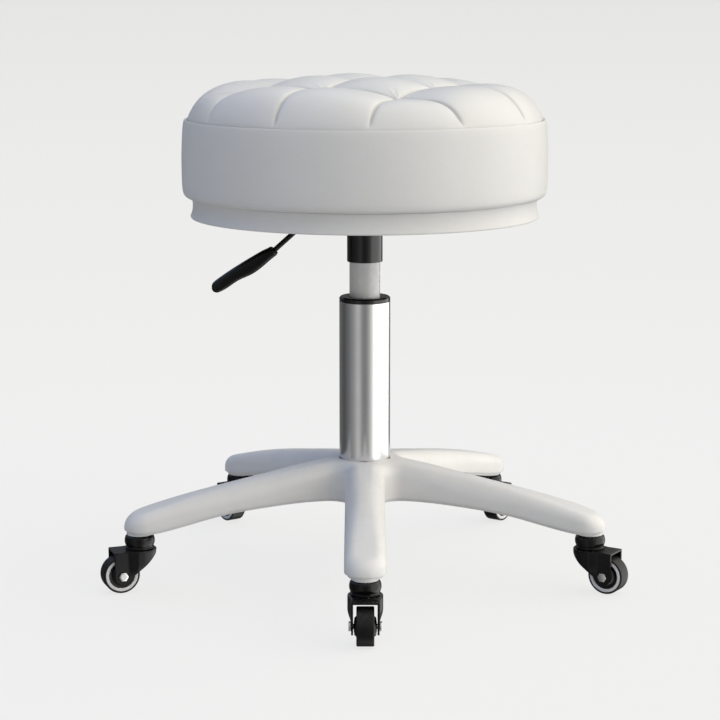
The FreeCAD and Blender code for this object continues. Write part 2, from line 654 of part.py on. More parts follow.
def lever_path():
    """Centre line of the rod: level under the plate, then bent down."""
    slope = radians(LEVER_SLOPE)
    reach = LEVER_BEND_R * tan(slope / 2)
    bend = Vec(LEVER_BEND_X, 0, PIVOT_Z)
    down = Vec(-cos(slope), 0, -sin(slope))
    start, end = Vec(LEVER_TIP_X, 0, PIVOT_Z), bend + down * LEVER_RUN
    into, out = bend + Vec(reach, 0, 0), bend + down * reach
    half = radians(90) + slope / 2
    centre = Vec(into.x, 0, PIVOT_Z - LEVER_BEND_R)
    middle = centre + Vec(cos(half), 0, sin(half)) * LEVER_BEND_R
    edges = [Part.LineSegment(start, into).toShape(), Part.Arc(into, middle, out).toShape(),
             Part.LineSegment(out, end).toShape()]
    return Part.Wire(edges)


def lever_rod():
    path = lever_path()
    section = Part.Wire(Part.makeCircle(LEVER_D / 2, Vec(LEVER_TIP_X, 0, PIVOT_Z), Vec(1, 0, 0)))
    rod = path.makePipeShell([section], True, False)
    boss_half = EAR_GAP / 2 - LEVER_BOSS_GAP
    start = Vec(PIVOT_X, -boss_half, PIVOT_Z)
    rod = rod.fuse(Part.makeCylinder(LEVER_BOSS_D / 2, 2 * boss_half, start, Vec(0, 1, 0)))
    return rod.cut(Part.makeCylinder(PIVOT_D / 2 + RUNNING, 60, start - Vec(0, 10, 0), Vec(0, 1, 0)))


def lever_grip():
    """Moulded grip over the end of the rod."""
    rod_slope, slope = radians(LEVER_SLOPE), radians(GRIP_SLOPE)
    base_x = LEVER_BEND_X - cos(rod_slope) * GRIP_START
    base_z = PIVOT_Z - sin(rod_slope) * GRIP_START
    points = []
    for along, up in GRIP_SIDE:
        x = base_x - along * cos(slope) - up * sin(slope)
        z = base_z - along * sin(slope) + up * cos(slope)
        points.append((x, z))
    grip = side_plate(points, -GRIP_W / 2, GRIP_W / 2)
    long_edges = [e for e in grip.Edges if abs(e.Vertexes[0].Y - e.Vertexes[1].Y) < 0.01]
    return grip.makeFillet(GRIP_ROUND, long_edges).cut(lever_rod())


# ---------------------------------------------------------------- seat
def seat_board():
    board = cylinder(BOARD_D, BOARD_Z, FOAM_Z)
    for x, y in bolt_places():
        board = board.cut(moved(cylinder(T_NUT_BARREL_D, FOAM_Z - T_NUT_BARREL_L, FOAM_Z), x, y))
        board = board.cut(moved(cylinder(BOLT_D, BOARD_Z, FOAM_Z), x, y))
        board = board.cut(moved(cylinder(T_NUT_D, FOAM_Z - T_NUT_T, FOAM_Z), x, y))
    return board


def dust_cover():
    return tube(BOARD_D, DUST_HOLE_D, BOARD_Z - DUST_T, BOARD_Z)


def seat_foam():
    return cylinder(FOAM_D, FOAM_Z, FOAM_Z + FOAM_H)


def seat_side_band():
    """Upholstered wall of the seat, slightly barrelled, round at the bottom."""
    r, inner, rim = SEAT_D / 2, FOAM_D / 2, SEAT_TOP_D / 2
    foam_top = FOAM_Z + FOAM_H
    side = [Vec(r - inset, 0, FOAM_Z + share * BAND_TOP_H) for inset, share in BAND_SIDE]
    curve = Part.BSplineCurve()
    curve.interpolate(side)
    corners = [side[-1], Vec(rim, 0, side[-1].z), Vec(rim, 0, foam_top), Vec(inner, 0, foam_top),
               Vec(inner, 0, FOAM_Z), side[0]]
    outline = Part.Wire([curve.toShape()] + Part.makePolygon(corners).Edges)
    return Part.Face(outline).revolve(Vec(0, 0, 0), Vec(0, 0, 1), 360)


def seat_top():
    """Plain dome where the tufted cover and its padding sit."""
    r, z0 = SEAT_TOP_D / 2, FOAM_Z + FOAM_H
    drop = SEAT_CROWN - BAND_LIP
    dome = [Vec(r * out, 0, z0 + SEAT_CROWN - drop * down) for out, down in TOP_DOME]
    curve = Part.BSplineCurve()
    curve.interpolate(dome)
    corners = [dome[-1], Vec(r, 0, z0), Vec(0, 0, z0), dome[0]]
    outline = Part.Wire([curve.toShape()] + Part.makePolygon(corners).Edges)
    return Part.Face(outline).revolve(Vec(0, 0, 0), Vec(0, 0, 1), 360)


def seat_base_band():
    """Narrower band round the board, flared a little at its foot."""
    r, foot_z = BOARD_D / 2, BOARD_Z - BASE_BAND_DROP
    side = [(r + thickness, foot_z + share * (FOAM_Z - foot_z)) for thickness, share in BASE_BAND_SIDE]
    return revolved([(r, FOAM_Z)] + side + [(r, foot_z)])


# ---------------------------------------------------------------- the stool
def stool():
    nodes = {
        "star_base": star_base(),
        "hub_sleeve": hub_sleeve(),
        "caster_sockets": caster_sockets(),
        "caster_stems": caster_stems(),
        "caster_washers": caster_washers(),
        "column_tube": column_tube(),
        "column_floor": column_floor(),
        "guide_sleeve": guide_sleeve(),
        "thrust_bearing": thrust_bearing(),
        "piston_rod": piston_rod(),
        "rod_clip": rod_clip(),
        "bump_stop": bump_stop(),
        "gas_piston": gas_piston(),
        "gas_cylinder": gas_cylinder(),
        "rod_guide": rod_guide(),
        "release_pin": release_pin(),
        "taper_socket": taper_socket(),
        "mechanism_plate": mechanism_plate(),
        "lever_pivot_pin": lever_pivot_pin(),
        "plate_bolts": plate_bolts(),
        "plate_washers": plate_washers(),
        "t_nuts": t_nuts(),
        "lever_rod": lever_rod(),
        "lever_grip": lever_grip(),
        "seat_board": seat_board(),
        "dust_cover": dust_cover(),
        "seat_foam": seat_foam(),
        "seat_side_band": seat_side_band(),
        "seat_top": seat_top(),
        "seat_base_band": seat_base_band(),
    }
    for k in range(ARMS):
        nodes[f"swivel_cap_{k + 1}"] = swivel_cap(k)
        nodes[f"caster_fork_{k + 1}"] = caster_fork(k)
        nodes[f"caster_axle_{k + 1}"] = caster_axle(k)
        nodes[f"wheel_core_{k + 1}"] = wheel_core(k)
        nodes[f"wheel_ring_{k + 1}"] = wheel_ring(k)
        nodes[f"tyre_{k + 1}"] = tyre(k)
    return nodes


os.makedirs("parts", exist_ok=True)
for name, shape in stool().items():
    shape.exportStep(f"parts/{name}.step")
    bad = "" if shape.isValid() else "  NOT VALID"
    print(f"{name:18s} {len(shape.Solids)} solid(s) {shape.Volume / 1000:8.2f} cm3{bad}")
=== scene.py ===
# %% [markdown]
# # A rolling stylist's stool
# This lesson dresses an engineer's model of a salon stool in Blender: a tufted round seat, a chromed gas
# lift, a moulded star base and five little casters. The engineer's parts are already in place, in metres,
# with the origin on the floor under the column. Each cell makes one thing and says what it made.

# %% Load the engineer's model
import json
from math import atan2, cos, hypot, pi, radians, sin, sqrt, tan

import bmesh
import bpy
import numpy as np
from mathutils import Matrix, Vector, kdtree


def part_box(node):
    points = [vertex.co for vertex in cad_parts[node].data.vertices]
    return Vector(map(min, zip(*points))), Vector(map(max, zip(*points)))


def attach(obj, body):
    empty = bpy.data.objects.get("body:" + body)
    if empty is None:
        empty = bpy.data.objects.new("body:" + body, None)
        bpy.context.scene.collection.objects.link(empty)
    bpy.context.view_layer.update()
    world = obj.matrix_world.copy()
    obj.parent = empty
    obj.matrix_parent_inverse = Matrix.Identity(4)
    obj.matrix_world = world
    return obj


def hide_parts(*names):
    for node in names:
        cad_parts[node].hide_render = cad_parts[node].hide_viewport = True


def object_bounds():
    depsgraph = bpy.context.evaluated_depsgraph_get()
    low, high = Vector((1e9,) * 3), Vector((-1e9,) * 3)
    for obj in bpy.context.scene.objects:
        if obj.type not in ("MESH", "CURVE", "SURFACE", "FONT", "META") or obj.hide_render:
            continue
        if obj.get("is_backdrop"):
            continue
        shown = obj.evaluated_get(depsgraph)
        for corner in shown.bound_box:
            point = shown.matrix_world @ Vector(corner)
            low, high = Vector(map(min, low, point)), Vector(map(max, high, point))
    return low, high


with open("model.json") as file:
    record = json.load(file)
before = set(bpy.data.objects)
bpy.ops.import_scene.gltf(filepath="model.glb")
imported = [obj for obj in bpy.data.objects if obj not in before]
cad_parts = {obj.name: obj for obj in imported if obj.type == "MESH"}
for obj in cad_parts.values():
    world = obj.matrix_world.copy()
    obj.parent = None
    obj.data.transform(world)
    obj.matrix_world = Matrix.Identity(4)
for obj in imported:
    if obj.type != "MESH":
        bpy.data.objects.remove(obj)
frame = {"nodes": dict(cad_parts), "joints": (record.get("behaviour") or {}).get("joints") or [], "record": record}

MM = 0.001
cad_low, cad_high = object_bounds()
cad_box = [list(cad_low), list(cad_high)]
print("the model is", [round(h - l, 3) for l, h in zip(*cad_box)], "m across, deep and high")

# %% [markdown]
# ## Sizes shared by the pieces
# Most places come straight from the boxes of the engineer's parts, so nothing has to be fitted by eye. A part
# that is round about the column only needs its radius and its two heights, and `ring_of` reads those three.

# %% Read a part's radius and heights
def ring_of(node):
    """(outer radius, lowest, highest) of a part that is round about the column."""
    low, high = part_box(node)
    return (high[0] - low[0]) / 2, low[2], high[2]


COLUMN_R, COLUMN_LOW, COLUMN_TOP = ring_of("column_tube")
CYLINDER_R, CYLINDER_LOW, CYLINDER_TOP = ring_of("gas_cylinder")
GUIDE_LOW, GUIDE_TOP = ring_of("guide_sleeve")[1:]
BOARD_R = ring_of("seat_board")[0]
BAND_R, BAND_LOW, BAND_TOP = ring_of("seat_side_band")
BASE_BAND_LOW, BASE_BAND_TOP = ring_of("seat_base_band")[1:]
RIM_R, PAD_LOW, PAD_TOP = ring_of("seat_top")
print(f"column {COLUMN_R * 2000:.0f} mm, seat {BAND_R * 2000:.0f} mm, crown at {PAD_TOP * 1000:.0f} mm")

# %% [markdown]
# ## Camera
# A long lens far away keeps the column nearly upright and the seat's ellipse shallow. The camera stands a
# little over two metres off, looks ten degrees down, and a hair to the left of the column.

# %% Camera
CAMERA_AWAY = 2.0375
CAMERA_UP = 0.5744
CAMERA_ASIDE = -0.0047
CAMERA_DOWN = 10.06
LENS_MM, SENSOR_MM = 105.07, 36.0
camera_data = bpy.data.cameras.new("camera")
camera_data.lens, camera_data.sensor_width = LENS_MM, SENSOR_MM
camera = bpy.data.objects.new("camera", camera_data)
bpy.context.scene.collection.objects.link(camera)
camera.location = (CAMERA_ASIDE, -CAMERA_AWAY, CAMERA_UP)
camera.rotation_euler = (radians(90 - CAMERA_DOWN), 0, 0)
bpy.context.scene.camera = camera
print("camera", camera_data.lens, "mm lens")

# %% [markdown]
# ## Node helpers
# Materials here are built from nodes. Two small helpers keep that readable: `add` makes a node and sets its
# sockets by name, and `group_of` starts a node group with named inputs and outputs that any material can use.

# %% Node helpers
def add(tree, kind, at=(0, 0), inputs=None, **settings):
    """Makes a node, sets its properties, then sets or links its inputs."""
    node = tree.nodes.new(kind)
    node.location = at
    for key, value in settings.items():
        setattr(node, key, value)
    for key, value in (inputs or {}).items():
        if isinstance(value, bpy.types.NodeSocket):
            tree.links.new(value, node.inputs[key])
        else:
            node.inputs[key].default_value = value
    return node


def group_of(name, kind, inputs, outputs):
    """A new node group. inputs and outputs are (name, socket type, default)."""
    tree = bpy.data.node_groups.new(name, kind)
    for direction, sockets in (("INPUT", inputs), ("OUTPUT", outputs)):
        for label, socket, default in sockets:
            made = tree.interface.new_socket(name=label, in_out=direction, socket_type=socket)
            if default is not None:
                made.default_value = default
    start, end = tree.nodes.new("NodeGroupInput"), tree.nodes.new("NodeGroupOutput")
    start.location, end.location = (-900, 0), (900, 0)
    return tree, start, end


FLOAT, COLOR, VECTOR = "NodeSocketFloat", "NodeSocketColor", "NodeSocketVector"
SHADER_TREE, GEOMETRY_TREE = "ShaderNodeTree", "GeometryNodeTree"

# %% [markdown]
# ## Studio
# A big pale floor stands in for a paper sweep. It glows a little where the camera sees it, which keeps it
# as even as a lit sweep, and still takes the soft shadows of the casters. Far off it only glows, and a
# little less with distance. Light comes from a tent of colour round the whole stool: one large bright side
# on the right, a low cool side on the left, and darker strips between them. Those strips are what draws the
# bands on the chrome.

# %% The floor
FLOOR_R, FLOOR_DROP = 80.0, 0.0005
floor_mesh = bpy.data.meshes.new("studio_floor")
floor_bm = bmesh.new()
bmesh.ops.create_circle(floor_bm, cap_ends=True, segments=96, radius=FLOOR_R)
floor_bm.to_mesh(floor_mesh)
floor_bm.free()
floor = bpy.data.objects.new("studio_floor", floor_mesh)
floor.location.z = -FLOOR_DROP
bpy.context.scene.collection.objects.link(floor)
floor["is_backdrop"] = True

PALE = (0.855, 0.852, 0.845, 1.0)
PAPER = (1.0, 0.997, 0.988)
NEAR_GLOW, FAR_DROP, DROP_REACH = 0.877, 0.094, 7.0
SHADOWS_TO, ALL_GLOW_FROM = 0.55, 1.9
PAPER_GREY, BOUNCE_GREY, GLOW_SHARE = 0.135, 0.50, 0.86
floor_look = bpy.data.materials.new("studio_floor")
floor_look.use_nodes = True
tree = floor_look.node_tree
tree.nodes.clear()
path = add(tree, "ShaderNodeLightPath")
where = add(tree, "ShaderNodeTexCoord")
length = add(tree, "ShaderNodeVectorMath", operation="LENGTH", inputs={0: where.outputs["Object"]})
far = add(tree, "ShaderNodeMapRange",
          inputs={"Value": length.outputs["Value"], "From Min": SHADOWS_TO, "From Max": ALL_GLOW_FROM,
                  "To Min": 0.0, "To Max": 1.0})
far.interpolation_type = "SMOOTHSTEP"
reach = add(tree, "ShaderNodeMath", operation="ADD", inputs={0: length.outputs["Value"], 1: DROP_REACH})
share = add(tree, "ShaderNodeMath", operation="DIVIDE",
            inputs={0: length.outputs["Value"], 1: reach.outputs[0]})
fall = add(tree, "ShaderNodeMath", operation="MULTIPLY_ADD", inputs={0: share.outputs[0], 1: -FAR_DROP,
                                                                    2: NEAR_GLOW})
paper = add(tree, "ShaderNodeVectorMath", operation="SCALE", inputs={0: PAPER, "Scale": fall.outputs[0]})
shade = add(tree, "ShaderNodeBsdfDiffuse", inputs={"Color": (PAPER_GREY, PAPER_GREY, PAPER_GREY, 1)})
glow = add(tree, "ShaderNodeEmission", inputs={"Color": paper.outputs[0], "Strength": GLOW_SHARE})
near_sum = add(tree, "ShaderNodeAddShader", inputs={0: shade.outputs[0], 1: glow.outputs[0]})
far_glow = add(tree, "ShaderNodeEmission", inputs={"Color": paper.outputs[0], "Strength": 1.0})
seen = add(tree, "ShaderNodeMixShader",
           inputs={0: far.outputs[0], 1: near_sum.outputs[0], 2: far_glow.outputs[0]})
bounce = add(tree, "ShaderNodeBsdfDiffuse", inputs={"Color": (BOUNCE_GREY, BOUNCE_GREY, BOUNCE_GREY, 1)})
clear = add(tree, "ShaderNodeBsdfTransparent")
other = add(tree, "ShaderNodeMixShader", inputs={0: path.outputs["Is Glossy Ray"], 1: bounce.outputs[0],
                                                 2: clear.outputs[0]})
choice = add(tree, "ShaderNodeMixShader", inputs={0: path.outputs["Is Camera Ray"], 1: other.outputs[0],
                                                  2: seen.outputs[0]})
add(tree, "ShaderNodeOutputMaterial", inputs={"Surface": choice.outputs[0]})
floor_mesh.materials.append(floor_look)
print("floor", FLOOR_R * 2, "m across")

# %% The light tent
# Brightness round the stool at eye level, and higher up, as (degrees, grey, coolness). 0 degrees is towards
# the camera and positive is to its right.
LOW_LIGHT = ((-180, 0.15, 0), (-147, 0.15, 0), (-106, 0.08, 0.2), (-80, 0.15, 0.3), (-57, 0.27, 0.2),
             (-28, 0.56, 0), (-9, 0.24, 0), (0, 0.20, 0), (9, 0.24, 0), (18, 0.40, 0), (28, 0.66, 0),
             (38, 1.1, 0),
             (50, 2.4, 0), (132, 2.2, 0), (138, 0.2, 0), (180, 0.12, 0))
HIGH_LIGHT = ((-180, 0.60, 2.0), (-120, 0.62, 4.0), (-70, 0.52, 4.0), (-30, 0.52, 2.2), (20, 0.78, -0.3),
              (55, 2.05, -0.8), (125, 2.25, -0.6), (160, 0.8, -0.2), (180, 0.60, 2.0))
BRIGHTEST = 3.0
CHANGE_LOW, CHANGE_HIGH = 0.22, 0.62
OVERHEAD_LOW, OVERHEAD_HIGH = 0.70, 0.97
OVERHEAD_GREY = 0.85


def tint(grey, cool):
    """A grey, or a blue-grey of the same lightness."""
    return (grey * (1 - 0.07 * cool) * 1.005, grey, grey * (1 + 0.16 * cool) * 0.99, 1.0)


def ramp_of(tree, table, angle, at):
    """A colour ramp with one stop for each row of the table."""
    ramp = add(tree, "ShaderNodeValToRGB", at, {"Fac": angle})
    ramp.color_ramp.interpolation = "EASE"
    stops = ramp.color_ramp.elements
    while len(stops) < len(table):
        stops.new(0.5)
    for stop, (degrees, grey, cool) in zip(stops, table):
        stop.position = (degrees + 180) / 360
    for stop, (degrees, grey, cool) in zip(stops, table):
        stop.color = tint(grey / BRIGHTEST, cool)
    return ramp


world = bpy.data.worlds.new("light_tent")
bpy.context.scene.world = world
world.use_nodes = True
tree = world.node_tree
tree.nodes.clear()
way = add(tree, "ShaderNodeTexCoord", (-1200, 0))
axes = add(tree, "ShaderNodeSeparateXYZ", (-1000, 0), {0: way.outputs["Generated"]})
minus_y = add(tree, "ShaderNodeMath", (-800, -120), {0: axes.outputs["Y"], 1: -1.0}, operation="MULTIPLY")
turn = add(tree, "ShaderNodeMath", (-600, 0), {0: axes.outputs["X"], 1: minus_y.outputs[0]},
           operation="ARCTAN2")
share = add(tree, "ShaderNodeMapRange", (-400, 0),
            {"Value": turn.outputs[0], "From Min": -pi, "From Max": pi})
low = ramp_of(tree, LOW_LIGHT, share.outputs[0], (-200, 200))
high = ramp_of(tree, HIGH_LIGHT, share.outputs[0], (-200, -100))
rise = add(tree, "ShaderNodeMapRange", (-200, -400),
           {"Value": axes.outputs["Z"], "From Min": CHANGE_LOW, "From Max": CHANGE_HIGH})
rise.interpolation_type = "SMOOTHSTEP"
side = add(tree, "ShaderNodeMix", (100, 100), {0: rise.outputs[0], 6: low.outputs[0], 7: high.outputs[0]},
           data_type="RGBA")
over = add(tree, "ShaderNodeMapRange", (-200, -600),
           {"Value": axes.outputs["Z"], "From Min": OVERHEAD_LOW, "From Max": OVERHEAD_HIGH})
over.interpolation_type = "SMOOTHSTEP"
tent = add(tree, "ShaderNodeMix", (300, 100), {0: over.outputs[0], 6: side.outputs[2],
                                               7: tint(OVERHEAD_GREY / BRIGHTEST, 0.1)}, data_type="RGBA")
lights = add(tree, "ShaderNodeBackground", (500, 100), {"Color": tent.outputs[2], "Strength": BRIGHTEST})
fade = add(tree, "ShaderNodeMapRange", (100, -300), {"Value": axes.outputs["Z"], "From Min": -0.075,
                                                     "From Max": 0.0, "To Min": 1.0, "To Max": 0.905})
sky_colour = add(tree, "ShaderNodeMix", (300, -300), {0: fade.outputs[0], 6: (0, 0, 0, 1), 7: PALE},
                 data_type="RGBA")
backdrop = add(tree, "ShaderNodeBackground", (500, -300), {"Color": sky_colour.outputs[2]})
path = add(tree, "ShaderNodeLightPath", (500, 400))
both = add(tree, "ShaderNodeMixShader", (700, 0), {0: path.outputs["Is Camera Ray"], 1: lights.outputs[0],
                                                   2: backdrop.outputs[0]})
add(tree, "ShaderNodeOutputWorld", (900, 0), {"Surface": both.outputs[0]})
bpy.context.scene.view_settings.view_transform = "Standard"
print("light tent with", len(LOW_LIGHT), "strips")

# %% [markdown]
# ## Small surface effects
# Real surfaces are never one flat value. Moulded plastic has a faint grain, powder coat has orange peel, faux
# leather has pebbles, and anything near a floor gathers dust. Each effect is a node group of its own, so the
# same grain can go on a cap, a grip and a wheel at different sizes.

# %% Effect groups
def blotches_group():
    """Soft uneven patches, 0 to 1, for colour and gloss that vary over a part."""
    tree, start, end = group_of("blotches", SHADER_TREE,
                                [("Vector", VECTOR, None), ("Scale", FLOAT, 40.0), ("Contrast", FLOAT, 1.0)],
                                [("Factor", FLOAT, None)])
    noise = add(tree, "ShaderNodeTexNoise", (-500, 0), {"Vector": start.outputs[0], "Scale": start.outputs[1],
                                                        "Detail": 4.0, "Roughness": 0.6})
    spread = add(tree, "ShaderNodeMapRange", (-250, 0), {"Value": noise.outputs["Fac"], "From Min": 0.35,
                                                         "From Max": 0.65})
    scaled = add(tree, "ShaderNodeMath", (0, 0), {0: spread.outputs[0], 1: start.outputs[2]},
                 operation="MULTIPLY")
    tree.links.new(scaled.outputs[0], end.inputs[0])
    return tree


def grain_group():
    """Fine moulded grain: a height from two sizes of noise."""
    tree, start, end = group_of("moulded_grain", SHADER_TREE,
                                [("Vector", VECTOR, None), ("Scale", FLOAT, 900.0)],
                                [("Height", FLOAT, None)])
    fine = add(tree, "ShaderNodeTexNoise", (-500, 100),
               {"Vector": start.outputs[0], "Scale": start.outputs[1],
                                                         "Detail": 2.0})
    cells = add(tree, "ShaderNodeTexVoronoi", (-500, -200),
                {"Vector": start.outputs[0], "Scale": start.outputs[1]},
                feature="SMOOTH_F1")
    both = add(tree, "ShaderNodeMath", (0, 0), {0: fine.outputs["Fac"], 1: cells.outputs["Distance"]},
               operation="ADD")
    tree.links.new(both.outputs[0], end.inputs[0])
    return tree


def dust_group():
    """Dust that settles on faces that look up: a tinted colour and its mask."""
    tree, start, end = group_of("settled_dust", SHADER_TREE,
                                [("Vector", VECTOR, None), ("Color", COLOR, (1, 1, 1, 1)),
                                 ("Amount", FLOAT, 0.1),
                                 ("Dust", COLOR, (0.55, 0.53, 0.50, 1))],
                                [("Color", COLOR, None), ("Mask", FLOAT, None)])
    shape = add(tree, "ShaderNodeNewGeometry", (-800, -200))
    axes = add(tree, "ShaderNodeSeparateXYZ", (-600, -200), {0: shape.outputs["Normal"]})
    up = add(tree, "ShaderNodeMapRange", (-400, -200),
             {"Value": axes.outputs["Z"], "From Min": 0.2, "From Max": 1.0})
    specks = add(tree, "ShaderNodeTexNoise", (-600, 100), {"Vector": start.outputs[0], "Scale": 260.0,
                                                           "Detail": 6.0, "Roughness": 0.75})
    patchy = add(tree, "ShaderNodeMapRange", (-400, 100), {"Value": specks.outputs["Fac"], "From Min": 0.42,
                                                           "From Max": 0.72})
    mask = add(tree, "ShaderNodeMath", (-200, 0), {0: up.outputs[0], 1: patchy.outputs[0]},
               operation="MULTIPLY")
    weighed = add(tree, "ShaderNodeMath", (0, 0), {0: mask.outputs[0], 1: start.outputs["Amount"]},
                  operation="MULTIPLY")
    tinted = add(tree, "ShaderNodeMix", (200, 0), {0: weighed.outputs[0], 6: start.outputs["Color"],
                                                   7: start.outputs["Dust"]}, data_type="RGBA")
    tree.links.new(tinted.outputs[2], end.inputs[0])
    tree.links.new(weighed.outputs[0], end.inputs[1])
    return tree


def wear_group():
    """Rubbed outer edges: a mask from how sharply the surface points outwards, broken up by noise."""
    tree, start, end = group_of("edge_wear", SHADER_TREE, [("Vector", VECTOR, None), ("Amount", FLOAT, 0.3)],
                                [("Mask", FLOAT, None)])
    shape = add(tree, "ShaderNodeNewGeometry", (-800, 0))
    edge = add(tree, "ShaderNodeMapRange", (-500, 0), {"Value": shape.outputs["Pointiness"], "From Min": 0.53,
                                                       "From Max": 0.62})
    chips = add(tree, "ShaderNodeTexNoise", (-700, -250), {"Vector": start.outputs[0], "Scale": 420.0,
                                                           "Detail": 5.0})
    broken = add(tree, "ShaderNodeMapRange", (-500, -250), {"Value": chips.outputs["Fac"], "From Min": 0.45,
                                                            "From Max": 0.62})
    both = add(tree, "ShaderNodeMath", (-200, 0), {0: edge.outputs[0], 1: broken.outputs[0]},
               operation="MULTIPLY")
    weighed = add(tree, "ShaderNodeMath", (0, 0), {0: both.outputs[0], 1: start.outputs["Amount"]},
                  operation="MULTIPLY")
    tree.links.new(weighed.outputs[0], end.inputs[0])
    return tree


def streaks_group():
    """Fine lines left by polishing: noise stretched hard along or round the part."""
    tree, start, end = group_of("polish_lines", SHADER_TREE,
                                [("Vector", VECTOR, None), ("Stretch", VECTOR, (1.0, 1.0, 60.0)),
                                 ("Scale", FLOAT, 30.0)], [("Height", FLOAT, None)])
    stretched = add(tree, "ShaderNodeVectorMath", (-600, 0), {0: start.outputs[0], 1: start.outputs[1]},
                    operation="MULTIPLY")
    noise = add(tree, "ShaderNodeTexNoise", (-300, 0),
                {"Vector": stretched.outputs[0], "Scale": start.outputs[2],
                                                        "Detail": 5.0, "Roughness": 0.7})
    tree.links.new(noise.outputs["Fac"], end.inputs[0])
    return tree


def pebble_group():
    """Pebbled skin of coated cloth: rounded cells with fine creases between them. Shade is 0 in the creases and 1
    on the cells, for painting shade into the creases.
    """
    tree, start, end = group_of("pebbled_skin", SHADER_TREE,
                                [("Vector", VECTOR, None), ("Scale", FLOAT, 750.0)],
                                [("Height", FLOAT, None), ("Shade", FLOAT, None)])
    bent = add(tree, "ShaderNodeTexNoise", (-800, 0),
               {"Vector": start.outputs[0], "Scale": 160.0, "Detail": 2.0})
    nudge = add(tree, "ShaderNodeVectorMath", (-600, 0),
                {0: bent.outputs["Color"], 1: (0.0022, 0.0022, 0.0022)},
                operation="MULTIPLY")
    moved = add(tree, "ShaderNodeVectorMath", (-400, 0), {0: start.outputs[0], 1: nudge.outputs[0]},
                operation="ADD")
    cells = add(tree, "ShaderNodeTexVoronoi", (-200, 0),
                {"Vector": moved.outputs[0], "Scale": start.outputs[1]},
                feature="DISTANCE_TO_EDGE")
    rounded = add(tree, "ShaderNodeMapRange", (0, 0), {"Value": cells.outputs["Distance"], "From Min": 0.0,
                                                       "From Max": 0.22})
    rounded.interpolation_type = "SMOOTHSTEP"
    broad = add(tree, "ShaderNodeTexNoise", (-200, -300), {"Vector": start.outputs[0], "Scale": 55.0,
                                                           "Detail": 3.0})
    height = add(tree, "ShaderNodeMath", (300, 0), {0: broad.outputs["Fac"], 1: 1.5, 2: rounded.outputs[0]},
                 operation="MULTIPLY_ADD")
    tree.links.new(height.outputs[0], end.inputs[0])
    tree.links.new(rounded.outputs[0], end.inputs[1])
    return tree


GROUPS = {"blotches": blotches_group(), "grain": grain_group(), "dust": dust_group(), "wear": wear_group(),
          "streaks": streaks_group(), "pebble": pebble_group()}
print("effects:", ", ".join(GROUPS))

# %% [markdown]
# ## Finishes
# One finish per kind of material. The colours are those of the real parts under plain light: an off-white
# moulding, white paint, satin chrome, and several blacks that differ mostly in gloss. `finish` wires the
# shared effects into a Principled shader and leaves the shader's plain settings on its own sockets.

# %% Finish maker
def use(tree, effect, at, inputs):
    """Places one of the shared effects in a material, with its own values."""
    node = tree.nodes.new("ShaderNodeGroup")
    node.node_tree = GROUPS[effect]
    node.location = at
    for key, value in inputs.items():
        if isinstance(value, bpy.types.NodeSocket):
            tree.links.new(value, node.inputs[key])
        else:
            node.inputs[key].default_value = value
    return node


def finish(name, colour, second, rough, settings=None, patches=35.0, relief="grain", relief_scale=900.0,
           stretch=(1.0, 1.0, 60.0), bump=0.00003, dust=0.0, wear=0.0, worn=(0.35, 0.35, 0.36, 1)):
    """A material whose colour drifts between two tones and whose gloss drifts between two roughnesses."""
    look = bpy.data.materials.new(name)
    look.use_nodes = True
    tree = look.node_tree
    tree.nodes.clear()
    where = add(tree, "ShaderNodeTexCoord", (-1400, 0)).outputs["Object"]
    patch = use(tree, "blotches", (-1100, 200), {"Vector": where, "Scale": patches, "Contrast": 1.0})
    tone = add(tree, "ShaderNodeMix", (-850, 300), {0: patch.outputs[0], 6: colour, 7: second},
               data_type="RGBA")
    dusted = use(tree, "dust", (-600, 300), {"Vector": where, "Color": tone.outputs[2], "Amount": dust})
    rubbed = use(tree, "wear", (-600, 0), {"Vector": where, "Amount": wear})
    base = add(tree, "ShaderNodeMix", (-300, 300), {0: rubbed.outputs[0], 6: dusted.outputs[0], 7: worn},
               data_type="RGBA")
    gloss = add(tree, "ShaderNodeMapRange", (-600, -200), {"Value": patch.outputs[0], "To Min": rough[0],
                                                           "To Max": rough[1]})
    dull = add(tree, "ShaderNodeMath", (-300, -200), {0: dusted.outputs[1], 1: 0.4, 2: gloss.outputs[0]},
               operation="MULTIPLY_ADD")
    inputs = {"Vector": where, "Scale": relief_scale}
    if relief == "streaks":
        inputs["Stretch"] = stretch
    surface = use(tree, relief, (-600, -500), inputs)
    bumped = add(tree, "ShaderNodeBump", (-300, -500), {"Height": surface.outputs[0], "Distance": bump})
    shader = add(tree, "ShaderNodeBsdfPrincipled", (0, 0), {"Base Color": base.outputs[2],
                                                            "Roughness": dull.outputs[0],
                                                            "Normal": bumped.outputs[0]})
    for key, value in (settings or {}).items():
        shader.inputs[key].default_value = value
    add(tree, "ShaderNodeOutputMaterial", (300, 0), {"Surface": shader.outputs[0]})
    return look


def grey(value, warm=0.0):
    """A grey, a touch warmer where warm is above nought."""
    return (value * (1 + warm), value, value * (1 - warm), 1.0)


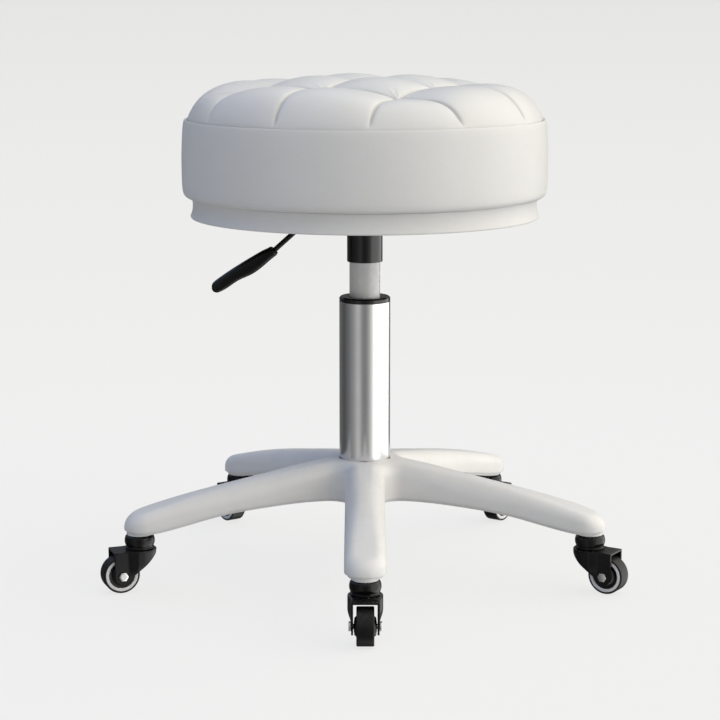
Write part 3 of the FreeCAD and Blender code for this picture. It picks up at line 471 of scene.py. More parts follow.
# %% The plain finishes
looks = {
    "base_white": finish("base_white", (0.800, 0.792, 0.776, 1), (0.775, 0.765, 0.745, 1), (0.36, 0.48),
                         {"Specular IOR Level": 0.45}, bump=0.00002, dust=0.10, relief_scale=1400.0),
    "cylinder_white": finish("cylinder_white", (0.79, 0.785, 0.77, 1), (0.77, 0.765, 0.75, 1), (0.24, 0.32),
                             {"Coat Weight": 0.3, "Coat Roughness": 0.12}, bump=0.000012, relief_scale=500.0),
    "column_chrome": finish("column_chrome", grey(0.80), grey(0.75), (0.20, 0.26), {"Metallic": 1.0},
                            patches=22.0, relief="streaks", relief_scale=24.0, bump=0.0000015),
    "bright_steel": finish("bright_steel", grey(0.66, 0.01), grey(0.58, 0.02), (0.22, 0.38),
                           {"Metallic": 1.0},
                           patches=180.0, relief="streaks", relief_scale=60.0, bump=0.000006, dust=0.12),
    "black_gloss": finish("black_gloss", grey(0.005), grey(0.008), (0.12, 0.18),
                          {"Specular IOR Level": 0.5}, bump=0.000006, relief_scale=600.0, dust=0.01),
    "black_plastic": finish("black_plastic", grey(0.004), grey(0.007), (0.18, 0.26),
                            {"Specular IOR Level": 0.26},
                            bump=0.000012, relief_scale=1200.0, dust=0.03, wear=0.08, worn=grey(0.05)),
    "black_steel": finish("black_steel", grey(0.004), grey(0.007), (0.22, 0.30),
                          {"Specular IOR Level": 0.26}, bump=0.00002, relief_scale=420.0, dust=0.03,
                          wear=0.12, worn=grey(0.10)),
    "black_rubber": finish("black_rubber", grey(0.020), grey(0.030), (0.55, 0.70), bump=0.00003),
    "tyre": finish("tyre", grey(0.005), grey(0.009), (0.38, 0.50), {"Specular IOR Level": 0.22}, patches=90.0,
                   bump=0.00002, dust=0.05, wear=0.1, worn=grey(0.06)),
    "ring_grey": finish("ring_grey", grey(0.86, 0.005), grey(0.82, 0.01), (0.34, 0.46), patches=90.0,
                        bump=0.000015, dust=0.08),
    "foam": finish("foam", (0.82, 0.74, 0.50, 1), (0.74, 0.64, 0.40, 1), (0.85, 0.95), relief="pebble",
                   relief_scale=900.0, bump=0.0004),
    "plywood": finish("plywood", (0.52, 0.36, 0.20, 1), (0.40, 0.26, 0.13, 1), (0.50, 0.65), relief="streaks",
                      relief_scale=30.0, stretch=(1.0, 14.0, 40.0), patches=16.0, bump=0.00008),
    "dust_cloth": finish("dust_cloth", grey(0.020), grey(0.045), (0.80, 0.92), {"Sheen Weight": 0.3},
                         patches=500.0, relief_scale=700.0, bump=0.00012, dust=0.15),
}
print(len(looks), "plain finishes")

# %% [markdown]
# ## Faux leather
# The cover is a coated cloth. Up close it has a fine pebbled skin, with the crevices between the pebbles
# painted a little darker as shade. Beside a seam it loses its sheen and is painted darker, as shade in the
# crease. The seam mask is stored on the mesh when the cushion is made, and is nought elsewhere.

# %% The cover's finish
cover = bpy.data.materials.new("cover_white")
cover.use_nodes = True
tree = cover.node_tree
tree.nodes.clear()
where = add(tree, "ShaderNodeTexCoord", (-1400, 0)).outputs["Object"]
SEAM_SHADE, PEBBLE_RELIEF = 0.55, 0.00005
patch = use(tree, "blotches", (-1100, 300), {"Vector": where, "Scale": 18.0, "Contrast": 1.0})
tone = add(tree, "ShaderNodeMix", (-850, 300), {0: patch.outputs[0], 6: (0.80, 0.795, 0.775, 1),
                                                7: (0.785, 0.775, 0.75, 1)}, data_type="RGBA")
pebbles = use(tree, "pebble", (-1100, -300), {"Vector": where, "Scale": 1150.0})
# The crevices between the pebbles are painted up to 4.5 per cent darker: painted shade.
pebble_shade = add(tree, "ShaderNodeMapRange", (-850, 0), {"Value": pebbles.outputs["Shade"], "To Min": 0.955,
                                                   "To Max": 1.0})
shaded = add(tree, "ShaderNodeVectorMath", (-600, 200), {0: tone.outputs[2], "Scale": pebble_shade.outputs[0]},
             operation="SCALE")
seam = add(tree, "ShaderNodeAttribute", (-850, -100), attribute_name="seam")
# Beside the seams the colour is mixed towards a darker grey: painted shade in the crease.
drawn = add(tree, "ShaderNodeMath", (-600, -50), {0: seam.outputs["Fac"], 1: SEAM_SHADE}, operation="MULTIPLY")
seam_shaded_tone = add(tree, "ShaderNodeMix", (-400, 200), {0: drawn.outputs[0], 6: shaded.outputs[0],
                                                   7: (0.50, 0.48, 0.45, 1)}, data_type="RGBA")
gloss = add(tree, "ShaderNodeMapRange", (-400, -150),
            {"Value": patch.outputs[0], "To Min": 0.33, "To Max": 0.42})
dull = add(tree, "ShaderNodeMath", (-200, -150), {0: seam.outputs["Fac"], 1: 0.15, 2: gloss.outputs[0]},
           operation="MULTIPLY_ADD")
bumped = add(tree, "ShaderNodeBump", (-200, -400), {"Height": pebbles.outputs["Height"],
                                                    "Distance": PEBBLE_RELIEF})
shader = add(tree, "ShaderNodeBsdfPrincipled", (0, 0),
             {"Base Color": seam_shaded_tone.outputs[2], "Roughness": dull.outputs[0],
              "Normal": bumped.outputs[0], "Specular IOR Level": 0.42})
add(tree, "ShaderNodeOutputMaterial", (300, 0), {"Surface": shader.outputs[0]})
looks["cover_white"] = cover
print("cover finish with pebbles and seams")

# %% Dress the engineer's parts
slot_of = {part["node"]: part["material_slot"] for part in frame["record"]["subparts"]}
for name, node in frame["nodes"].items():
    node.data.materials.clear()
    node.data.materials.append(looks[slot_of[name]])
print(len(slot_of), "parts dressed")

# %% [markdown]
# ## Shapes from outlines
# Nearly all the hard parts are turned: one outline swung round an axis. `rounded` breaks every corner of an
# outline, since no moulded or pressed part has a knife edge, and `lathe` swings it.

# %% Turned shapes
def rounded(corners, steps=4):
    """A closed outline with its corners rounded. Each corner is (radius, height, rounding)."""
    points = []
    count = len(corners)
    for i, (x, y, r) in enumerate(corners):
        here = np.array((x, y))
        before = np.array(corners[i - 1][:2]) - here
        after = np.array(corners[(i + 1) % count][:2]) - here
        long_before, long_after = np.linalg.norm(before), np.linalg.norm(after)
        before, after = before / long_before, after / long_after
        half = np.arccos(np.clip(before @ after, -1, 1)) / 2
        if r <= 0 or half > 1.55:
            points.append(tuple(here))
            continue
        reach = min(r / tan(half), 0.45 * long_before, 0.45 * long_after)
        bow = reach * tan(half)
        centre = here + (before + after) / np.linalg.norm(before + after) * bow / sin(half)
        first, last = here + before * reach - centre, here + after * reach - centre
        for t in np.linspace(0, 1, steps + 1):
            swing = first * (1 - t) + last * t
            points.append(tuple(centre + swing / np.linalg.norm(swing) * bow))
    return points


def smooth(mesh, angle=32.0):
    """Smooth shading, with edges sharper than the angle kept crisp."""
    mesh.polygons.foreach_set("use_smooth", [True] * len(mesh.polygons))
    mesh.set_sharp_from_angle(angle=radians(angle))


def mesh_of(name, points, faces, angle=32.0, weld=1e-6):
    """A welded mesh with its faces outward."""
    mesh = bpy.data.meshes.new(name)
    mesh.from_pydata([tuple(p) for p in points], [], faces)
    bm = bmesh.new()
    bm.from_mesh(mesh)
    bmesh.ops.remove_doubles(bm, verts=bm.verts, dist=weld)
    bmesh.ops.recalc_face_normals(bm, faces=bm.faces)
    bm.to_mesh(mesh)
    bm.free()
    smooth(mesh, angle)
    return mesh


def turned_shape(outline, segments=96):
    """Points and faces of a closed outline swung once round Z."""
    count = len(outline)
    points = []
    for s in range(segments):
        a = 2 * pi * s / segments
        points += [(r * cos(a), r * sin(a), z) for r, z in outline]
    faces = []
    for s in range(segments):
        for i in range(count):
            a, b = s * count, (s + 1) % segments * count
            j = (i + 1) % count
            faces.append((a + i, b + i, b + j, a + j))
    return points, faces


def place(name, mesh, body, slot, stands_for=(), look=None):
    """Puts a finished mesh in the scene, on its body, with its finish."""
    piece = bpy.data.objects.new(name, mesh)
    bpy.context.scene.collection.objects.link(piece)
    mesh.materials.clear()
    mesh.materials.append(look or looks[slot])
    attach(piece, body)
    if stands_for:
        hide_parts(*stands_for)
    return piece


def lathe(name, outline, body, slot, stands_for=(), segments=96, angle=32.0):
    """A piece turned about the column's axis."""
    points, faces = turned_shape(outline, segments)
    return place(name, mesh_of(name, points, faces, angle), body, slot, stands_for)


def bevelled(mesh, width, segments, angle):
    """The same mesh with every edge sharper than the angle broken by a small bevel."""
    piece = bpy.data.objects.new(mesh.name, mesh)
    bpy.context.scene.collection.objects.link(piece)
    bevel = piece.modifiers.new("bevel", "BEVEL")
    bevel.width, bevel.segments = width, segments
    bevel.limit_method, bevel.angle_limit = "ANGLE", radians(angle)
    made = bpy.data.meshes.new_from_object(piece.evaluated_get(bpy.context.evaluated_depsgraph_get()))
    bpy.data.objects.remove(piece)
    made.name = mesh.name
    smooth(made, 38)
    return made


def softened(name, nodes, body, slot, width=0.0003, segments=2):
    """A copy of engineer's parts with their triangles merged and every hard edge broken by a small bevel."""
    bm = bmesh.new()
    for node in nodes:
        bm.from_mesh(frame["nodes"][node].data)
    bmesh.ops.remove_doubles(bm, verts=bm.verts, dist=2e-6)
    bmesh.ops.dissolve_limit(bm, angle_limit=radians(0.6), verts=bm.verts, edges=bm.edges)
    bmesh.ops.recalc_face_normals(bm, faces=bm.faces)
    mesh = bpy.data.meshes.new(name)
    bm.to_mesh(mesh)
    bm.free()
    return place(name, bevelled(mesh, width, segments, 34), body, slot, nodes)


# %% [markdown]
# ## One wedge, five arms
# The base is five identical arms, as it would be in its injection mould. So one 72 degree wedge is modelled
# and a Geometry Nodes tree turns it round the column, welds the joints and gives it its finish. The same
# tree repeats the swivel caps and the staples, each with its own count.

# %% The ring repeater
def ring_tree():
    """Copies a shape round the column, welds where copies meet and gives them their finish."""
    tree, start, end = group_of("ring_repeat", GEOMETRY_TREE,
                                [("Geometry", "NodeSocketGeometry", None), ("Copies", "NodeSocketInt", 5),
                                 ("First turn", FLOAT, 0.0), ("Weld", FLOAT, 0.00002),
                                 ("Finish", "NodeSocketMaterial", None)],
                                [("Geometry", "NodeSocketGeometry", None)])
    points = add(tree, "GeometryNodePoints", (-500, 200), {"Count": start.outputs["Copies"]})
    index = add(tree, "GeometryNodeInputIndex", (-900, -200))
    turn = add(tree, "ShaderNodeMath", (-700, -200), {0: index.outputs[0], 1: 2 * pi}, operation="MULTIPLY")
    step = add(tree, "ShaderNodeMath", (-500, -200), {0: turn.outputs[0], 1: start.outputs["Copies"]},
               operation="DIVIDE")
    total = add(tree, "ShaderNodeMath", (-300, -200), {0: step.outputs[0], 1: start.outputs["First turn"]},
                operation="ADD")
    about_z = add(tree, "ShaderNodeCombineXYZ", (-100, -200), {"Z": total.outputs[0]})
    copies = add(tree, "GeometryNodeInstanceOnPoints", (-100, 100), {"Points": points.outputs[0],
                                                                     "Instance": start.outputs["Geometry"],
                                                                     "Rotation": about_z.outputs[0]})
    real = add(tree, "GeometryNodeRealizeInstances", (150, 100), {0: copies.outputs[0]})
    weld = add(tree, "GeometryNodeMergeByDistance", (350, 100), {"Geometry": real.outputs[0],
                                                                 "Distance": start.outputs["Weld"]})
    dressed = add(tree, "GeometryNodeSetMaterial", (550, 100), {"Geometry": weld.outputs[0],
                                                                "Material": start.outputs["Finish"]})
    tree.links.new(dressed.outputs[0], end.inputs[0])
    return tree


def grown(name, source, tree, inputs, body, slot, stands_for=(), angle=32.0):
    """Runs a tree once on a mesh or curve and keeps the result as a plain mesh."""
    maker = bpy.data.objects.new(name, source)
    bpy.context.scene.collection.objects.link(maker)
    modifier = maker.modifiers.new("nodes", "NODES")
    modifier.node_group = tree
    for item in tree.interface.items_tree:
        if item.in_out == "INPUT" and item.name in inputs:
            modifier[item.identifier] = inputs[item.name]
    mesh = bpy.data.meshes.new_from_object(maker.evaluated_get(bpy.context.evaluated_depsgraph_get()))
    bpy.data.objects.remove(maker)
    mesh.name = name
    smooth(mesh, angle)
    return place(name, mesh, body, slot, stands_for)


RING = ring_tree()
print("ring repeater with", len([i for i in RING.interface.items_tree if i.in_out == "INPUT"]), "inputs")

# %% [markdown]
# ## The star base
# Seen from above, each arm is a straight bar with a round tip and a generous fillet where it meets its
# neighbour. Seen from the side it swells from the caster up to the hub. The top edge is bull-nosed, the
# side drops to a small step, and below the step a thinner lip runs all the way round and tapers out at the
# tip. Underneath it is hollow, with ribs, as any moulding this thick has to be. Every column of the mesh
# below starts at the middle of the arm, runs out over the top, down the side, round the lip and back in
# under the roof.

# %% Heights along an arm
base_low, base_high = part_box("star_base")
STEM_GRIP = 13.0 * MM
BOSS_H = 3.5 * MM
TIP_Z = base_low[2] + BOSS_H
TIP_R = -base_low[1]
HUB_TOP = base_high[2]
ARM_HALF = 19.0 * MM
ROOT_R = 14.0 * MM
EDGE_R = 10.0 * MM
ROOF_T = 4.5 * MM
WALL_INSET = 5.0 * MM
LIP_H = 3.2 * MM
ARM_BOW, BOW_FROM, BOW_FULL, BOW_LAST, BOW_END = 4.5 * MM, 60.0 * MM, 110.0 * MM, 112.0 * MM, 226.0 * MM
EDGE_MORE = 3.0 * MM
BREAK = 0.45 * MM
CASTER_CIRCLE = 228.5 * MM
HUB_HOLE = COLUMN_R + 0.15 * MM
ARM_TOP = ((0.0, 57.6), (0.10, 57.5), (0.165, 56.6), (0.235, 54.2), (0.43, 46.4), (0.60, 38.8), (0.85, 24.8),
           (0.95, 17.8), (1.02, 12.0))
ARM_LIP = ((0.10, 17.6), (0.25, 19.0), (0.43, 17.0), (0.64, 11.2), (0.725, 7.0), (0.84, 1.2), (0.90, -1.0),
           (1.02, -1.8))
TIP_DROP = -2.0


def through(table, at):
    """Smooth curve through a table's points: a natural cubic spline."""
    x, y = np.array(table, float).T
    n, h = len(x), np.diff(x)
    system, right = np.eye(n), np.zeros(n)
    for i in range(1, n - 1):
        system[i, i - 1:i + 2] = h[i - 1], 2 * (h[i - 1] + h[i]), h[i]
        right[i] = 6 * ((y[i + 1] - y[i]) / h[i] - (y[i] - y[i - 1]) / h[i - 1])
    bend = np.linalg.solve(system, right)
    i = np.clip(np.searchsorted(x, at) - 1, 0, n - 2)
    left, far_side = x[i + 1] - at, at - x[i]
    return ((bend[i] * left ** 3 + bend[i + 1] * far_side ** 3) / (6 * h[i])
            + (y[i] / h[i] - bend[i] * h[i] / 6) * left
            + (y[i + 1] / h[i] - bend[i + 1] * h[i] / 6) * far_side)


def before_tip(x):
    """1 along the arm, falling to 0 at its tip."""
    left = np.clip((BOW_END - x) / (BOW_END - BOW_LAST), 0, 1)
    return left * left * (3 - 2 * left)


def top_z(x, y):
    """Height of the top, which is bowed across the arm once it is clear of the hub."""
    clear = np.clip((x - BOW_FROM) / (BOW_FULL - BOW_FROM), 0, 1)
    bow = ARM_BOW * (y / ARM_HALF) ** 2 * clear * clear * (3 - 2 * clear) * before_tip(x)
    return TIP_Z + MM * through(ARM_TOP, np.hypot(x, y) / TIP_R) - bow


def lip_z(x, y):
    """Height of the lip's underside."""
    return TIP_Z + MM * np.maximum(through(ARM_LIP, np.maximum(np.hypot(x, y) / TIP_R, 0.10)), TIP_DROP)


# %% Outline of one arm and where each column of the mesh starts
HALF_TURN = pi / 5
ROOT_X = (ARM_HALF + ROOT_R) / tan(HALF_TURN)
TIP_CENTRE = TIP_R - ARM_HALF
FAN_X = 72.0 * MM
ROOT_COLUMNS, FAN_COLUMNS, SIDE_COLUMNS, TIP_COLUMNS = 14, 7, 30, 14


def outline_at(part, t, inset):
    """A point of the arm's outline, set in by inset. part is root, side or tip. t runs 0 to 1 along a root
    or tip, and is the distance from the column along a side."""
    if part == "root":
        a = pi + HALF_TURN + t * (pi / 2 - HALF_TURN)
        r = ROOT_R + inset
        return ROOT_X + r * cos(a), ARM_HALF + ROOT_R + r * sin(a)
    if part == "side":
        return t, ARM_HALF - inset
    a = pi / 2 * (1 - t)
    return TIP_CENTRE + (ARM_HALF - inset) * cos(a), (ARM_HALF - inset) * sin(a)


def start_at(q):
    """A point of the path that the columns start from: round the hub's hole, then out along the arm."""
    arc = HUB_HOLE * HALF_TURN
    if q < arc:
        a = HALF_TURN - q / HUB_HOLE
        return HUB_HOLE * cos(a), HUB_HOLE * sin(a)
    return HUB_HOLE + q - arc, 0.0


def arm_columns():
    """(part, place along it, start) for half an arm, from the root's middle to the tip."""
    arc = HUB_HOLE * HALF_TURN
    root_q, fan_q = 0.62 * arc, arc + FAN_X - HUB_HOLE
    found = []
    for t in np.linspace(0, 1, ROOT_COLUMNS, endpoint=False):
        found.append(("root", t, start_at(root_q * t)))
    for t in np.linspace(0, 1, FAN_COLUMNS, endpoint=False):
        found.append(("side", ROOT_X + t * (FAN_X - ROOT_X), start_at(root_q + t * (fan_q - root_q))))
    for x in np.linspace(FAN_X, TIP_CENTRE, SIDE_COLUMNS, endpoint=False):
        found.append(("side", x, (x, 0.0)))
    for t in np.linspace(0, 1, TIP_COLUMNS):
        found.append(("tip", t, (TIP_CENTRE, 0.0)))
    return found


# Under the side, as (inset in mm, drop as a share of the small break), and under the lip, as (inset, height).
STEP_SHAPE = ((0.15, 0.85), (BREAK / MM, 1.0), (1.35, 1.0), (1.7, 1.1), (1.8, 1.5))
LIP_SHAPE = ((3.1, BREAK), (3.25, 0.1 * MM), (3.6, 0.0), (4.6, 0.0), (4.9, 0.1 * MM), (5.0, BREAK))
TOP_STEPS, EDGE_STEPS, ROOF_STEPS = 9, 8, 7


def column_of(part, t, start):
    """One column: out over the top, round the edge, down, round the lip and back under the roof."""
    sx, sy = start
    row = []
    edge_r = EDGE_R + EDGE_MORE * before_tip(max(outline_at(part, t, 0.0)[0], sx))
    edge_x, edge_y = outline_at(part, t, edge_r)
    for share in np.linspace(0, 1, TOP_STEPS)[:-1]:
        x, y = sx + (edge_x - sx) * share, sy + (edge_y - sy) * share
        row.append((x, y, top_z(x, y)))
    for a in np.linspace(0, pi / 2, EDGE_STEPS):
        x, y = outline_at(part, t, edge_r * (1 - sin(a)))
        row.append((x, y, top_z(x, y) - edge_r * (1 - cos(a))))
    x, y = outline_at(part, t, 0.0)
    step_z = lip_z(x, y) + LIP_H
    side_z = min(row[-1][2] - 0.05 * MM, step_z + BREAK)
    row.append((x, y, (row[-1][2] + side_z) / 2))
    row.append((x, y, side_z))
    for inset, down in STEP_SHAPE:
        x, y = outline_at(part, t, inset * MM)
        row.append((x, y, step_z + BREAK - down * BREAK))
    for inset, up in LIP_SHAPE:
        x, y = outline_at(part, t, inset * MM)
        row.append((x, y, lip_z(x, y) + up))
    roof_x, roof_y = outline_at(part, t, WALL_INSET)
    roof = top_z(roof_x, roof_y) - ROOF_T
    low = row[-1][2]
    row.append((roof_x, roof_y, low + (roof - low) * 0.5))
    for share in np.linspace(1, 0, ROOF_STEPS):
        x, y = sx + (roof_x - sx) * share, sy + (roof_y - sy) * share
        row.append((x, y, top_z(x, y) - ROOF_T))
    return row


columns = [column_of(*c) for c in arm_columns()]
columns += [[(x, -y, z) for x, y, z in column] for column in reversed(columns[:-1])]
rows = len(columns[0])
points = [p for column in columns for p in column]
faces = []
for c in range(len(columns) - 1):
    for r in range(rows - 1):
        a = c * rows + r
        faces.append((a, a + 1, a + rows + 1, a + rows))
    if all(hypot(*columns[k][0][:2]) < HUB_HOLE + 1e-6 for k in (c, c + 1)):
        faces.append((c * rows, (c + 1) * rows, (c + 2) * rows - 1, (c + 1) * rows - 1))
print(len(columns), "columns of", rows, "points in one wedge")


# %% [markdown]
# ### What the mould adds under the arms
# A thick ring holds the column, a round boss holds each caster's stem, and thin ribs keep the arms from
# twisting. Ribs are about half as thick as the walls so that they leave no sink marks on top.

# %% Boss, ring and ribs
def add_shell(points, faces, more_points, more_faces, shift=(0, 0, 0)):
    """Adds one shape's points and faces, moved by shift, to a growing list of both."""
    first = len(points)
    points += [(x + shift[0], y + shift[1], z + shift[2]) for x, y, z in more_points]
    faces += [tuple(first + i for i in face) for face in more_faces]


def slab(stations, thick, along):
    """A thin upright plate. stations are (place, low, high), and thick is its thickness."""
    half = thick / 2
    found = []
    for place_at, low_at, high_at in stations:
        for side_at in (-half, half):
            for height in (low_at, high_at):
                found.append((place_at, side_at, height) if along else (side_at, place_at, height))
    sides = []
    for i in range(len(stations) - 1):
        a, b = 4 * i, 4 * (i + 1)
        sides += [(a, b, b + 1, a + 1), (a + 2, a + 3, b + 3, b + 2),
                  (a, a + 2, b + 2, b), (a + 1, b + 1, b + 3, a + 3)]
    last = 4 * (len(stations) - 1)
    return found, sides + [(0, 1, 3, 2), (last, last + 2, last + 3, last + 1)]


RIB_T = 2.4 * MM
RIB_LIFT = 5.0 * MM
SUNK = 3.0 * MM
SOCKET_R, BOSS_R, NEAR_AXIS = 7.35 * MM, 12.5 * MM, 0.01 * MM
BOSS_TOP = TIP_Z + 8 * MM
RIB_FROM, RIB_TO, CROSS_HALF = 34 * MM, 217 * MM, 14.6 * MM
CROSS_RIBS = (0.34, 0.50, 0.66)
RING_IN, RING_OUT = 27.6 * MM, 36 * MM
boss = rounded([(SOCKET_R, base_low[2], 0.4 * MM), (BOSS_R, base_low[2], 0.8 * MM),
                (BOSS_R, BOSS_TOP, 0), (NEAR_AXIS, BOSS_TOP, 0),
                (NEAR_AXIS, base_low[2] + STEM_GRIP, 0), (SOCKET_R, base_low[2] + STEM_GRIP, 0)])
add_shell(points, faces, *turned_shape(boss, 48), shift=(CASTER_CIRCLE, 0, 0))
xs = np.linspace(RIB_FROM, RIB_TO, 30)
add_shell(points, faces, *slab([(x, lip_z(x, 0) + RIB_LIFT, top_z(x, 0) - SUNK) for x in xs], RIB_T, True))
for share in CROSS_RIBS:
    x = share * TIP_R
    ys = np.linspace(-CROSS_HALF, CROSS_HALF, 7)
    cross, cross_faces = slab([(y, lip_z(x, y) + RIB_LIFT, top_z(x, y) - SUNK) for y in ys], RIB_T, False)
    add_shell(points, faces, cross, cross_faces, shift=(x, 0, 0))
wedge = mesh_of("arm_wedge", points, faces, 30, 3e-6)
star = grown("star_base_moulding", wedge, RING,
             {"Copies": 5, "First turn": -pi / 2, "Weld": 0.00002, "Finish": looks["base_white"]},
             "base", "base_white", ["star_base"], 30)
HUB_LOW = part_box("hub_sleeve")[0][2] - 2.5 * MM
lathe("hub_ring", rounded([(RING_IN, HUB_LOW, 0.6 * MM), (RING_OUT, HUB_LOW, 0.8 * MM),
                           (RING_OUT, HUB_TOP - SUNK, 0),
                           (RING_IN, HUB_TOP - SUNK, 0)]), "base", "base_white")
print("star base has", len(star.data.vertices), "points")

# %% [markdown]
# ## Casters
# Each caster is a pressed steel yoke under a plastic swivel cap, with a small two-colour wheel: a hard
# black hub that stands proud of the sides, a light ring pressed over it, and a thin black tread. The wheel
# turns on a bolt with a hexagon head. The yokes trail wherever the last roll left them, so no two point the
# same way.

# %% Swivel caps
cap_low, cap_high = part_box("swivel_cap_1")
CAP_R = (cap_high[0] - cap_low[0]) / 2
cap_side = [(5.6, 12.8, 0), (12.3, 12.8, 0.8), (13.8, 11.2, 2.0), (14.5, 8.4, 3.5), (14.5, 5.6, 3.0),
            (13.7, 3.0, 0.8), (13.0, 2.5, 0.3), (13.0, 1.3, 0.3), (13.9, 0.9, 0.3), (13.8, 0.0, 0.3),
            (12.4, 0.0, 0.2), (12.0, 1.0, 0.2), (5.6, 1.0, 0)]
cap_outline = rounded([(r * MM, cap_low[2] + z * MM, break_r * MM) for r, z, break_r in cap_side])
cap_points, cap_faces = turned_shape(cap_outline, 72)
shifted = [(x + CASTER_CIRCLE, y, z) for x, y, z in cap_points]
grown("swivel_caps", mesh_of("cap", shifted, cap_faces), RING,
      {"Copies": 5, "First turn": -pi / 2, "Weld": 0.000002, "Finish": looks["black_plastic"]}, "base",
      "black_plastic", [f"swivel_cap_{k}" for k in range(1, 6)])
print("swivel caps", round(CAP_R * 2000, 1), "mm across")


# %% Wheels
def on_axle(name, outline, k, slot, node, segments=96):
    """A turned part of wheel k, stood on its axle."""
    joint = next(j for j in frame["joints"] if j["name"] == f"wheel_spin_{k}")
    axis = Vector(joint["axis"]).normalized()
    stand = Matrix.Translation(Vector(joint["pos_m"])) @ axis.to_track_quat("Z", "Y").to_matrix().to_4x4()
    points, faces = turned_shape(outline, segments)
    mesh = mesh_of(name, [stand @ Vector(p) for p in points], faces)
    return place(name, mesh, f"wheel_{k}", slot, [node])


def mirrored(half):
    """A closed outline from the half of it on one side of the wheel's middle."""
    return rounded([(r * MM, z * MM, b * MM) for r, z, b in half]
                   + [(r * MM, -z * MM, b * MM) for r, z, b in reversed(half)])


# %% [markdown]
# ### The yokes
# A yoke is one piece of sheet steel: a flat top with a round nose, and two cheeks folded down from it that
# draw in towards the wheel. It isn't turned, so its cheeks are laid out level by level from the round foot at
# the axle up to the top plate, and a small bevel breaks every edge as tumbling does on the real pressing.

# %% Yokes
fork_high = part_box("caster_fork_1")[1][2]
ROOF_LOW = fork_high - 2.0 * MM
SHEET_T = 1.8 * MM
CHEEK_HALF, NOSE_R = 12.6 * MM, 16.0 * MM
SHOULDER_X, CHEEK_X, BACK_X = 6.0 * MM, 14.0 * MM, 28.0 * MM
TAPER_LOW, TAPER_HIGH = 14.0 * MM, 30.0 * MM
FOOT_R, LEAD_X, TOE_X = 8.0 * MM, 8.6 * MM, 15.0 * MM
NOSE_X = -13.9 * MM
STEM_HOLE_R = 5.75 * MM
CHEEK_STEPS, FOOT_STEPS, UPPER_STEPS, NOSE_STEPS = 30, 9, 22, 37
PLATE_ROUND, RIM_BREAK = 0.7 * MM, 0.2 * MM


def half_width(x, z):
    """Half the yoke's width: round at its nose, wide beside the swivel, drawn in to flat cheeks."""
    drawn = min(max((x - SHOULDER_X) / (CHEEK_X - SHOULDER_X), 0), 1)
    full = min(max((z - TAPER_LOW) / (TAPER_HIGH - TAPER_LOW), 0), 1)
    wide = CHEEK_HALF + (NOSE_R - CHEEK_HALF) * (1 - drawn) * full * full * (3 - 2 * full)
    return sqrt(wide ** 2 - min(x, 0.0) ** 2)


def cheek(side, axle_x, axle_z):
    """One bent cheek of the yoke, from its round foot up to the roof. Returns points and faces."""
    levels = [axle_z - FOOT_R * cos(t) for t in np.linspace(radians(14), pi / 2, FOOT_STEPS)]
    levels += list(np.linspace(axle_z, ROOF_LOW + 0.5 * MM, UPPER_STEPS)[1:])
    toe_z = axle_z - sqrt(FOOT_R ** 2 - (axle_x - TOE_X) ** 2)
    across = CHEEK_STEPS
    points, faces = [], []
    for z in levels:
        chord = sqrt(max(FOOT_R ** 2 - min(z - axle_z, 0) ** 2, 0))
        if z < toe_z:
            first_x = axle_x - chord
        elif z < axle_z:
            first_x = TOE_X + (LEAD_X - TOE_X) * (z - toe_z) / (axle_z - toe_z)
        else:
            first_x = max(LEAD_X + (-NOSE_R + MM - LEAD_X) * (z - axle_z) / (ROOF_LOW - MM - axle_z), NOSE_X)
        for skin in (0.0, SHEET_T):
            for x in np.linspace(first_x, axle_x + chord, across):
                outer = half_width(x, z)
                inner = sqrt(max((half_width(max(x, 0), z) - skin) ** 2 - min(x, 0.0) ** 2, 0))
                points.append((x, side * (inner if skin else outer), z))
    wide = 2 * across
    for i in range(len(levels) - 1):
        a, b = i * wide, (i + 1) * wide
        for j in range(across - 1):
            faces += [(a + j, a + j + 1, b + j + 1, b + j),
                      (a + across + j, b + across + j, b + across + j + 1, a + across + j + 1)]
        for j in (0, across - 1):
            faces.append((a + j, b + j, b + across + j, a + across + j))
    top = (len(levels) - 1) * wide
    for row in (0, top):
        faces += [(row + j, row + j + 1, row + across + j + 1, row + across + j) for j in range(across - 1)]
    return points, faces


def yoke_roof():
    """The yoke's top plate with its rim rounded and a hole for the stem. Returns points and faces."""
    nose = [(NOSE_R * cos(a), NOSE_R * sin(a)) for a in np.linspace(pi / 2, 3 * pi / 2, NOSE_STEPS)]
    run = [0.0, SHOULDER_X * 0.5, SHOULDER_X, 0.5 * (SHOULDER_X + CHEEK_X), CHEEK_X, 19 * MM, 24 * MM, BACK_X]
    under = [(x, -half_width(x, fork_high)) for x in run[1:]]
    back = [(BACK_X, y) for y in np.linspace(-CHEEK_HALF, CHEEK_HALF, 9)[1:-1]]
    plan = nose + under + back + [(x, -y) for x, y in reversed(under)]
    levels = [(fork_high, PLATE_ROUND), (fork_high - RIM_BREAK, RIM_BREAK), (fork_high - PLATE_ROUND, 0.0),
              (ROOF_LOW + PLATE_ROUND, 0.0), (ROOF_LOW + RIM_BREAK, RIM_BREAK), (ROOF_LOW, PLATE_ROUND)]
    points, faces, count = [], [], len(plan)
    for z, inset in levels:
        points += [(x * (1 - inset / hypot(x, y)), y * (1 - inset / hypot(x, y)), z) for x, y in plan]
    for z in (ROOF_LOW, fork_high):
        points += [(x * STEM_HOLE_R / hypot(x, y), y * STEM_HOLE_R / hypot(x, y), z) for x, y in plan]
    loops = len(levels) + 2
    for i in range(loops):
        a, b = i * count, (i + 1) % loops * count
        faces += [(a + j, a + (j + 1) % count, b + (j + 1) % count, b + j) for j in range(count)]
    return points, faces


